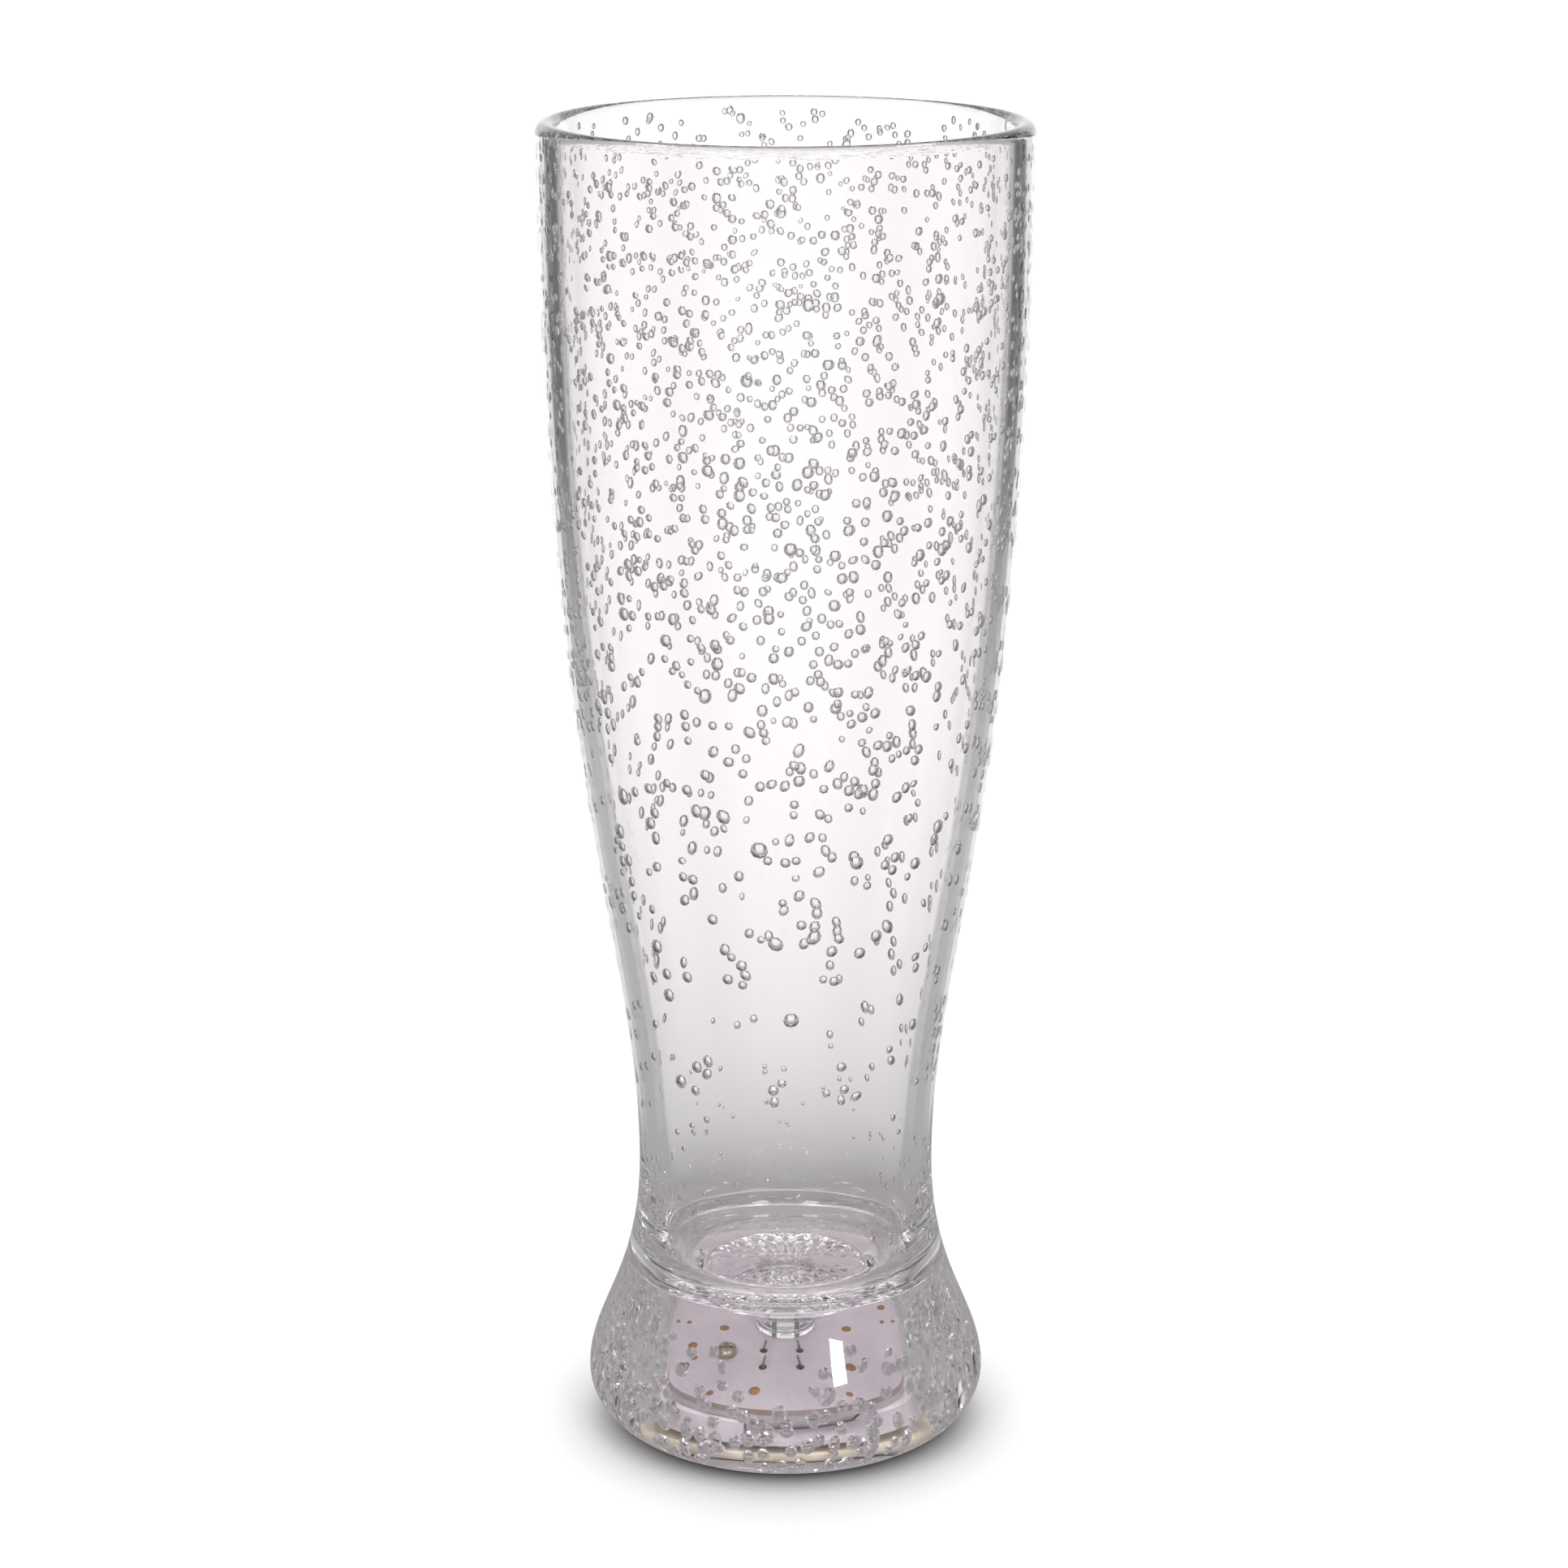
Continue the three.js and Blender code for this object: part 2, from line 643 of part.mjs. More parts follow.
function switchGeometry() {
  const half = switchSide / 2 - switchCorner;
  const outline = new THREE.Shape();
  outline.absarc(half, half, switchCorner, 0, Math.PI / 2, false);
  outline.absarc(-half, half, switchCorner, Math.PI / 2, Math.PI, false);
  outline.absarc(-half, -half, switchCorner, Math.PI, 1.5 * Math.PI, false);
  outline.absarc(half, -half, switchCorner, 1.5 * Math.PI, 2 * Math.PI, false);
  outline.closePath();
  const bore = disc(plungerRadius + fitGap, 0, plungerTop + buttonTravel + fitGap);
  return cut(plate(outline, switchBottom, switchTop), bore).translate(switchX, switchY, 0);
}

function plungerGeometry() {
  const chamfer = 0.3;
  return revolve(profile(
    [0, plungerTip],
    [plungerRadius - chamfer, plungerTip],
    [plungerRadius, plungerTip + chamfer],
    [plungerRadius, plungerTop],
    [0, plungerTop],
  ), smallSegments).translate(switchX, switchY, 0);
}

// A leg stands beside the switch, passes the board and leans over where it was cut
function legGeometry([x, y], sideX) {
  const path = new THREE.CatmullRomCurve3([
    new THREE.Vector3(x, y, switchBottom + switchHeight / 2),
    new THREE.Vector3(x, y, boardZ),
    new THREE.Vector3(x, y, boardTop),
    new THREE.Vector3(x - (sideX * legLean) / 3, y + legLean / 3, boardTop + legTail / 2),
    new THREE.Vector3(x - sideX * legLean, y + legLean, boardTop + legTail),
  ]);
  const section = new THREE.Shape();
  section.moveTo(-legWidth / 2, -legThickness / 2);
  section.lineTo(legWidth / 2, -legThickness / 2);
  section.lineTo(legWidth / 2, legThickness / 2);
  section.lineTo(-legWidth / 2, legThickness / 2);
  section.closePath();
  return new THREE.ExtrudeGeometry(section, { steps: 8, bevelEnabled: false, extrudePath: path });
}

addPiece('switch_body', switchGeometry(), blackPlastic);
addPiece('switch_plunger', plungerGeometry(), blackPlastic);
legPlaces.forEach((place, i) => {
  addPiece(`switch_leg_${i + 1}`, legGeometry(place, Math.sign(place[0] - switchX)), tinnedWire);
});

// Power button: dished face below, a flange that keeps it in the cover, and a nose under the plunger
function buttonGeometry() {
  const flangeZ = plateTop + stackGap;
  const flangeTop = flangeZ + buttonFlangeHeight;
  const noseRadius = plungerRadius + fitGap;
  const noseTop = plungerTip - stackGap;
  const edge = 0.5;
  return revolve(profile(
    [0, coverRecess + buttonDish],
    [buttonRadius / 2, coverRecess + buttonDish / 4],
    [buttonRadius - edge, coverRecess],
    [buttonRadius, coverRecess + edge],
    [buttonRadius, flangeZ],
    [buttonRadius + buttonFlange, flangeZ],
    [buttonRadius + buttonFlange, flangeTop],
    [noseRadius, flangeTop],
    [noseRadius, noseTop],
    [0, noseTop],
  ), roundSegments / 2).translate(switchX, switchY, 0);
}

addPiece('power_button', buttonGeometry(), greyAbs);

export default glass;
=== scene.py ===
"""Light-up pilsner glass: bubbled clear acrylic round a small lamp module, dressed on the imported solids."""

import logging
import math
from dataclasses import dataclass, field
from enum import Enum
from functools import cached_property

import bpy
import numpy as np
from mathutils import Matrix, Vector
from mathutils.geometry import delaunay_2d_cdt
from numpy.typing import NDArray


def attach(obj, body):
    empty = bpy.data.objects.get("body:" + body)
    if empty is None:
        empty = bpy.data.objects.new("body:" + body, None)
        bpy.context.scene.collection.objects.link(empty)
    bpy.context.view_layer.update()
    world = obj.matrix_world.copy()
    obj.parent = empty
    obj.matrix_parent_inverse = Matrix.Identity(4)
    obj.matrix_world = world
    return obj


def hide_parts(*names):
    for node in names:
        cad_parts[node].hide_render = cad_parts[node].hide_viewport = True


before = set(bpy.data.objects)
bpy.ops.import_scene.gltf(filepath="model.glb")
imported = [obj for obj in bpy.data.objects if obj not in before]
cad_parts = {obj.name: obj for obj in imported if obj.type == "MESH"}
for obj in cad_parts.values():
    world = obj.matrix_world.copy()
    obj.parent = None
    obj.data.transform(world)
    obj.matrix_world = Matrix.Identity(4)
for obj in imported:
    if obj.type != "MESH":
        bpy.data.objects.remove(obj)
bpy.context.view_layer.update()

LOG = logging.getLogger("pilsner_glass")
MM = 0.001
TAU = 2 * math.pi
Array = NDArray[np.float64]
Faces = NDArray[np.int64]
Mask = NDArray[np.bool_]
Shape = tuple[Array, Faces]
Point = tuple[float, float]
Colour = tuple[float, float, float, float]
WHITE: Colour = (1.0, 1.0, 1.0, 1.0)


class Body(Enum):
    """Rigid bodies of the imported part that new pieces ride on."""

    GLASS = "glass"
    BUTTON = "button"


class Slot(Enum):
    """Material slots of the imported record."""

    CLEAR_ACRYLIC = "clear_acrylic"
    CLEAR_EPOXY = "clear_epoxy"
    WHITE_ABS = "white_abs"
    GREY_ABS = "grey_abs"
    CREAM_SILICONE = "cream_silicone"
    WHITE_BOARD = "white_board"


def linear(code: str) -> Colour:
    """Turn an sRGB hex colour into linear red, green, blue and alpha.

    Args:
        code: Colour such as "#d8cfd8".

    Returns:
        Four linear values from 0 to 1.
    """
    srgb = np.array([int(code[i : i + 2], 16) for i in (1, 3, 5)]) / 255
    low, high = srgb / 12.92, ((srgb + 0.055) / 1.055) ** 2.4
    red, green, blue = np.where(srgb <= 0.04045, low, high).tolist()
    return (red, green, blue, 1.0)


def add_node(
    tree: bpy.types.NodeTree,
    kind: str,
    settings: dict[str | int, object] | None = None,
    links: dict[str | int, bpy.types.NodeSocket] | None = None,
) -> bpy.types.Node:
    """Add a node, give it its settings and link its inputs.

    Args:
        tree: Node tree that gets the node.
        kind: Blender's identifier of the node type.
        settings: Values by input name, input number or property name.
        links: Output sockets by the input name or number that they feed.

    Returns:
        The new node.
    """
    node = tree.nodes.new(kind)
    for key, value in (settings or {}).items():
        if isinstance(key, int) or key in node.inputs:
            node.inputs[key].default_value = value
        else:
            setattr(node, key, value)
    for key, socket in (links or {}).items():
        tree.links.new(socket, node.inputs[key])
    return node


def per_mm(spacing_mm: float) -> float:
    """Texture scale, in repeats per metre, of a pattern that repeats every spacing_mm."""
    return 1 / (spacing_mm * MM)


def new_material(name: str) -> tuple[bpy.types.Material, bpy.types.NodeTree]:
    """Make an empty node material.

    Args:
        name: The real material's name.

    Returns:
        The material and its cleared node tree.
    """
    material = bpy.data.materials.new(name)
    material.use_nodes = True
    material.node_tree.nodes.clear()
    return material, material.node_tree


@dataclass(frozen=True)
class ClearPlastic:
    """Clear moulded or cast plastic: polished faces with the faint ripple that moulding leaves.

    Lamps shine through it with a little loss, as they do through the real wall.
    """

    name: str
    tint: str
    shade: str
    ior: float
    roughness: float
    ripple_mm: float
    ripple_depth_mm: float
    wipe_ripples: float = 3.0
    polish_range: Point = (0.5, 1.5)

    @cached_property
    def material(self) -> bpy.types.Material:
        """Polished clear plastic that casts a pale shadow instead of a dark one.

        Returns:
            The finish as a Blender material.
        """
        material, tree = new_material(self.name)
        place = add_node(tree, "ShaderNodeTexCoord").outputs["Object"]
        ripple = add_node(
            tree, "ShaderNodeTexNoise", {"Scale": per_mm(self.ripple_mm), "Detail": 1.0}, {"Vector": place}
        )
        wipe = add_node(
            tree,
            "ShaderNodeTexNoise",
            {"Scale": per_mm(self.wipe_ripples * self.ripple_mm), "Detail": 3.0},
            {"Vector": place},
        )
        smoothest, dullest = self.polish_range
        polish = add_node(
            tree,
            "ShaderNodeMapRange",
            {"To Min": smoothest * self.roughness, "To Max": dullest * self.roughness},
            {"Value": wipe.outputs["Fac"]},
        )
        bump = add_node(
            tree,
            "ShaderNodeBump",
            {"Strength": 1.0, "Distance": self.ripple_depth_mm * MM},
            {"Height": ripple.outputs["Fac"]},
        )
        clear = add_node(
            tree,
            "ShaderNodeBsdfPrincipled",
            {"Base Color": linear(self.tint), "IOR": self.ior, "Transmission Weight": 1.0},
            {"Roughness": polish.outputs["Result"], "Normal": bump.outputs["Normal"]},
        )
        lit_through = add_node(tree, "ShaderNodeBsdfTransparent", {"Color": linear(self.shade)})
        path = add_node(tree, "ShaderNodeLightPath")
        mixed = add_node(
            tree,
            "ShaderNodeMixShader",
            {},
            {0: path.outputs["Is Shadow Ray"], 1: clear.outputs[0], 2: lit_through.outputs[0]},
        )
        add_node(tree, "ShaderNodeOutputMaterial", {}, {"Surface": mixed.outputs[0]})
        return material


@dataclass(frozen=True)
class CementedJoint:
    """Acrylic bonded to acrylic: the cement has the plastic's own index, so light runs straight on."""

    name: str
    clear: str
    cloudy: str
    cloud_mm: float

    @cached_property
    def material(self) -> bpy.types.Material:
        """See-through face with a tint that clouds over in patches.

        Returns:
            The finish as a Blender material.
        """
        material, tree = new_material(self.name)
        place = add_node(tree, "ShaderNodeTexCoord").outputs["Object"]
        cloud = add_node(
            tree, "ShaderNodeTexNoise", {"Scale": per_mm(self.cloud_mm), "Detail": 2.0}, {"Vector": place}
        )
        tint = add_node(
            tree,
            "ShaderNodeMix",
            {"data_type": "RGBA", 6: linear(self.clear), 7: linear(self.cloudy)},
            {0: cloud.outputs["Fac"]},
        ).outputs[2]
        through = add_node(tree, "ShaderNodeBsdfTransparent", {}, {"Color": tint})
        add_node(tree, "ShaderNodeOutputMaterial", {}, {"Surface": through.outputs[0]})
        return material


@dataclass(frozen=True)
class SolidFinish:
    """Opaque finish whose colour, gloss and height all follow one fine grain."""

    name: str
    colour: str
    deep_colour: str
    roughness: float
    grain_mm: float
    grain_depth_mm: float
    metallic: float = 0.0
    subsurface: float = 0.0
    core_colour: str | None = None
    core_above_mm: float = 0.0
    core_slope: float = 0.6
    cloud_grains: float = 20.0
    deep_range: Point = (0.15, 0.4)
    gloss_range: Point = (0.85, 1.15)
    glow_depth_mm: float = 1.5

    @cached_property
    def material(self) -> bpy.types.Material:
        """Grained colour, gloss and height, with the core's colour on cut edges where there is one.

        Returns:
            The finish as a Blender material.
        """
        material, tree = new_material(self.name)
        place = add_node(tree, "ShaderNodeTexCoord").outputs["Object"]
        grain = add_node(
            tree, "ShaderNodeTexNoise", {"Scale": per_mm(self.grain_mm), "Detail": 4.0}, {"Vector": place}
        )
        cloud = add_node(
            tree,
            "ShaderNodeTexNoise",
            {"Scale": per_mm(self.cloud_grains * self.grain_mm), "Detail": 2.0},
            {"Vector": place},
        )
        patchy = add_node(
            tree,
            "ShaderNodeMath",
            {"operation": "MULTIPLY"},
            {0: grain.outputs["Fac"], 1: cloud.outputs["Fac"]},
        )
        shallow, deep = self.deep_range
        depth = add_node(
            tree, "ShaderNodeMapRange", {"From Min": shallow, "From Max": deep}, {"Value": patchy.outputs[0]}
        )
        colour = add_node(
            tree,
            "ShaderNodeMix",
            {"data_type": "RGBA", 6: linear(self.colour), 7: linear(self.deep_colour)},
            {0: depth.outputs["Result"]},
        ).outputs[2]
        if self.core_colour is not None:
            normal = add_node(tree, "ShaderNodeNewGeometry").outputs["Normal"]
            upright = add_node(tree, "ShaderNodeSeparateXYZ", {}, {"Vector": normal}).outputs["Z"]
            flat = add_node(tree, "ShaderNodeMath", {"operation": "ABSOLUTE"}, {0: upright}).outputs[0]
            steep = add_node(
                tree, "ShaderNodeMath", {"operation": "LESS_THAN", 1: self.core_slope}, {0: flat}
            ).outputs[0]
            height = add_node(tree, "ShaderNodeSeparateXYZ", {}, {"Vector": place}).outputs["Z"]
            above = add_node(
                tree, "ShaderNodeMath", {"operation": "GREATER_THAN", 1: self.core_above_mm * MM}, {0: height}
            ).outputs[0]
            on_edge = add_node(
                tree, "ShaderNodeMath", {"operation": "MULTIPLY"}, {0: steep, 1: above}
            ).outputs[0]
            fibre = add_node(
                tree,
                "ShaderNodeMix",
                {"data_type": "RGBA", 6: linear(self.core_colour), 7: linear(self.deep_colour)},
                {0: cloud.outputs["Fac"]},
            ).outputs[2]
            colour = add_node(
                tree, "ShaderNodeMix", {"data_type": "RGBA"}, {0: on_edge, 6: colour, 7: fibre}
            ).outputs[2]
        smoothest, dullest = self.gloss_range
        gloss = add_node(
            tree,
            "ShaderNodeMapRange",
            {"To Min": smoothest * self.roughness, "To Max": min(1.0, dullest * self.roughness)},
            {"Value": cloud.outputs["Fac"]},
        )
        bump = add_node(
            tree,
            "ShaderNodeBump",
            {"Strength": 1.0, "Distance": self.grain_depth_mm * MM},
            {"Height": grain.outputs["Fac"]},
        )
        shader = add_node(
            tree,
            "ShaderNodeBsdfPrincipled",
            {
                "Metallic": self.metallic,
                "Subsurface Weight": self.subsurface,
                "Subsurface Scale": self.glow_depth_mm * MM,
            },
            {"Base Color": colour, "Roughness": gloss.outputs["Result"], "Normal": bump.outputs["Normal"]},
        )
        add_node(tree, "ShaderNodeOutputMaterial", {}, {"Surface": shader.outputs[0]})
        return material


# Cast and moulded acrylic: water clear with a trace of lavender in thick places
ACRYLIC = ClearPlastic("moulded_acrylic", "#fcfafb", "#d2cdd0", 1.49, 0.012, 14.0, 0.01)
# Skin of the bubbles in the base: the same plastic, a little hazed, and tinted grey as painted shade so that
# each bubble draws a grey rim
BUBBLE_SKIN_PAINTED_SHADE = ClearPlastic("hazed_bubble_skin_painted_shade", "#e8e4e8", "#d2cdd0", 1.49, 0.02, 6.0, 0.004)
# Solvent cement between cup and base: as clear as the plastic, with a little haze in patches
CEMENT = CementedJoint("solvent_cement", "#ffffff", "#f6f4f6", 2.0)
# Epoxy of the lamp: clear, a little softer in polish than acrylic
EPOXY = ClearPlastic("cast_epoxy", "#f3f4f6", "#d8d8dc", 1.54, 0.03, 5.0, 0.01)
# Moulded ABS: satin from a spark-eroded mould, slightly see-through at thin edges
WHITE_ABS = SolidFinish("white_moulded_abs", "#ece7ea", "#ded8dc", 0.42, 0.35, 0.006, subsurface=0.05)
GREY_ABS = SolidFinish("grey_moulded_abs", "#c9c6c9", "#b7b4b8", 0.45, 0.35, 0.006, subsurface=0.05)
# Silicone rubber: matte and milky, with a soft edge where light enters it
SILICONE = SolidFinish("cream_silicone_rubber", "#efe7d3", "#ddd3bc", 0.6, 0.5, 0.01, subsurface=0.2)
# Paper board under white solder mask: smooth face, tan fibrous core where it is drilled or cut, over
# a white lower layer
BOARD = SolidFinish(
    "masked_paper_board", "#bbb7ba", "#b0abaf", 0.4, 0.4, 0.004, core_colour="#8d6536", core_above_mm=9.35
)
# Switch housing and resin: black, fine matte
BLACK = SolidFinish("black_nylon_and_resin", "#1c1c1e", "#2b2a2c", 0.5, 0.3, 0.006)
# Tan laminated paper, bare where a hole is punched: matt and fibrous
PAPER_CORE = SolidFinish("bare_paper_laminate", "#9a7340", "#7d5a30", 0.8, 0.5, 0.02)
# Nickel plate on steel: warm and bright with faint pitting
NICKEL = SolidFinish("nickel_plated_steel", "#bcb5a3", "#8f8877", 0.26, 0.25, 0.004, metallic=1.0)
# Plated can of a button cell: bright with fine drawing marks
CELL = SolidFinish("plated_cell_steel", "#cbccce", "#b0b1b4", 0.22, 0.3, 0.003, metallic=1.0)
# Tinned leads and contact strips: dull grey, unevenly wetted
TIN = SolidFinish("tinned_copper", "#a39f96", "#736f68", 0.36, 0.3, 0.006, metallic=1.0)


# Points that agree to this many decimals of a millimetre are one
WELD_DECIMALS = 5
# A softened corner's steps, the most of a side that it takes up, how far past it the extra point lies
# and the space that the next curve leaves for that point
CORNER_STEPS = 4
LONGEST_TAKE = 0.4
LEAD_SHARE = 0.15
LEAD_GAP = 0.1


def grid_faces(rows: int, columns: int, ring: bool = False, other: Mask | None = None) -> Faces:
    """Triangles of a grid whose columns close on themselves.

    Each cell between row i and i + 1 and column j and j + 1 is split along its diagonal.

    Args:
        rows: Number of rows of points.
        columns: Number of points in each row.
        ring: True if the last row joins the first.
        other: Cells that are split along their other diagonal, if any.

    Returns:
        Point numbers, three to a triangle.
    """
    i = np.arange(rows if ring else rows - 1)[:, None]
    j = np.arange(columns)[None, :]
    here, above = i * columns, ((i + 1) % rows) * columns
    right = (j + 1) % columns
    a, b, c, d = here + j, here + right, above + right, above + j
    low, high = np.stack([a, b, c], -1), np.stack([a, c, d], -1)
    if other is not None:
        low = np.where(other[..., None], np.stack([a, b, d], -1), low)
        high = np.where(other[..., None], np.stack([b, c, d], -1), high)
    return np.concatenate([low, high]).reshape(-1, 3)


def weld(points: Array, faces: Faces) -> Shape:
    """Merge points that coincide and drop the triangles that this leaves with no area.

    Args:
        points: Points in millimetres.
        faces: Point numbers, three to a triangle.

    Returns:
        The merged points and their triangles.
    """
    rounded = np.round(points, WELD_DECIMALS)
    _, first, merged = np.unique(rounded, axis=0, return_index=True, return_inverse=True)
    faces = merged.reshape(-1)[faces]
    a, b, c = faces.T
    return points[first], faces[(a != b) & (b != c) & (c != a)]


def outward(points: Array, faces: Faces) -> Faces:
    """Turn a closed surface's triangles so that they face out.

    The sum of each triangle's signed volume with the origin is positive for such a surface.

    Args:
        points: Points in millimetres.
        faces: Point numbers, three to a triangle.

    Returns:
        The triangles, reversed if the signed volume was negative.
    """
    a, b, c = points[faces].transpose(1, 0, 2)
    volume = np.einsum("ij,ij->i", a, np.cross(b, c)).sum()
    return faces if volume > 0 else faces[:, ::-1]


def revolve(outline: Array, segments: int, ring: bool = False) -> Shape:
    """Carry an outline of radius and height round the Z axis.

    A point at radius r and turn t lies at (r cos t, r sin t, height).

    Args:
        outline: Rows of radius and height in millimetres.
        segments: Number of turns of the outline round the axis.
        ring: True if the outline closes on itself away from the axis.

    Returns:
        Welded points and outward triangles.
    """
    turn = np.arange(segments) * TAU / segments
    radius, height = outline[:, :1], outline[:, 1:]
    points = np.stack([radius * np.cos(turn), radius * np.sin(turn), height + 0 * turn], -1).reshape(-1, 3)
    points, faces = weld(points, grid_faces(len(outline), segments, ring))
    return points, outward(points, faces)


def soften(corners: Array, size: float, ring: bool = False) -> Array:
    """Round the corners of an outline with short curves.

    Each corner P becomes the curve (1-t)^2 A + 2t(1-t) P + t^2 B between points A and B at most
    the given size away along its two sides. One more point on each side keeps the faces beside the
    curve flat in shading.

    Args:
        corners: Rows of radius and height in millimetres.
        size: Length of each side that the curve takes up.
        ring: True if the outline closes on itself.

    Returns:
        The rounded outline; an open outline keeps its two ends.
    """
    before = np.roll(corners, 1, 0) - corners
    after = np.roll(corners, -1, 0) - corners
    reach = [np.linalg.norm(side, axis=1, keepdims=True) for side in (before, after)]
    start = corners + before / reach[0] * np.minimum(size, LONGEST_TAKE * reach[0])
    end = corners + after / reach[1] * np.minimum(size, LONGEST_TAKE * reach[1])
    t = np.linspace(0, 1, CORNER_STEPS + 1)[None, :, None]
    curves = (1 - t) ** 2 * start[:, None] + 2 * t * (1 - t) * corners[:, None] + t**2 * end[:, None]
    lead_in = (1 + LEAD_SHARE) * start - LEAD_SHARE * corners
    lead_out = (1 + LEAD_SHARE) * end - LEAD_SHARE * corners
    curves = np.concatenate([lead_in[:, None], curves, lead_out[:, None]], 1)
    if ring:
        return curves.reshape(-1, 2)
    return np.concatenate([corners[:1], curves[1:-1].reshape(-1, 2), corners[-1:]])


def add_piece(
    name: str,
    points: Array,
    faces: Faces,
    finish: ClearPlastic | SolidFinish,
    body: Body = Body.GLASS,
    stands_for: tuple[str, ...] = (),
    sharp_degrees: float = 40.0,
    facets: Mask | None = None,
    patches: tuple[tuple[ClearPlastic | CementedJoint, Mask], ...] = (),
) -> bpy.types.Object:
    """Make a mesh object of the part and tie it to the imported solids.

    Args:
        name: Name of the piece.
        points: Points in millimetres, in the part's frame.
        faces: Point numbers, three to a triangle.
        finish: Finish of the whole piece.
        body: Rigid body that the piece rides on.
        stands_for: Solids that the piece is shown instead of.
        sharp_degrees: Edges that bend more than this are shaded sharp.
        facets: Triangles that are shaded flat, if any.
        patches: Other finishes and the triangles that have them.

    Returns:
        The new object.
    """
    mesh = bpy.data.meshes.new(name)
    mesh.vertices.add(len(points))
    mesh.vertices.foreach_set("co", (points * MM).astype(np.float32).ravel())
    mesh.loops.add(faces.size)
    mesh.loops.foreach_set("vertex_index", faces.astype(np.int32).ravel())
    mesh.polygons.add(len(faces))
    mesh.polygons.foreach_set("loop_start", np.arange(0, faces.size, 3, dtype=np.int32))
    mesh.update(calc_edges=True)
    mesh.set_sharp_from_angle(angle=math.radians(sharp_degrees))
    mesh.polygons.foreach_set("use_smooth", np.ones(len(faces), dtype=bool) if facets is None else ~facets)
    mesh.materials.append(finish.material)
    number = np.zeros(len(faces), dtype=np.int32)
    for patch, (other, where) in enumerate(patches, start=1):
        mesh.materials.append(other.material)
        number[where] = patch
    mesh.polygons.foreach_set("material_index", number)
    piece = bpy.data.objects.new(name, mesh)
    bpy.context.scene.collection.objects.link(piece)
    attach(piece, body.value)
    if stands_for:
        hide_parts(*stands_for)
    LOG.info("%s: %d triangles", name, len(faces))
    return piece


def bezier(p0: Array, p1: Array, p2: Array, p3: Array, steps: int) -> Array:
    """Points of a cubic curve with the four given control points, evenly spaced in its parameter."""
    t = np.linspace(0, 1, steps + 1)[:, None]
    return (1 - t) ** 3 * p0 + 3 * t * (1 - t) ** 2 * p1 + 3 * t**2 * (1 - t) * p2 + t**3 * p3


def arc(centre: Point, size: Point, start: float, end: float, steps: int) -> Array:
    """Points of an ellipse arc about centre, from one angle in degrees to another."""
    angle = np.radians(np.linspace(start, end, steps + 1))
    return np.stack([centre[0] + size[0] * np.cos(angle), centre[1] + size[1] * np.sin(angle)], -1)


def span(start: Point, end: Point, steps: int) -> Array:
    """Points of a straight line, its two ends included."""
    return np.linspace(start, end, steps + 1)


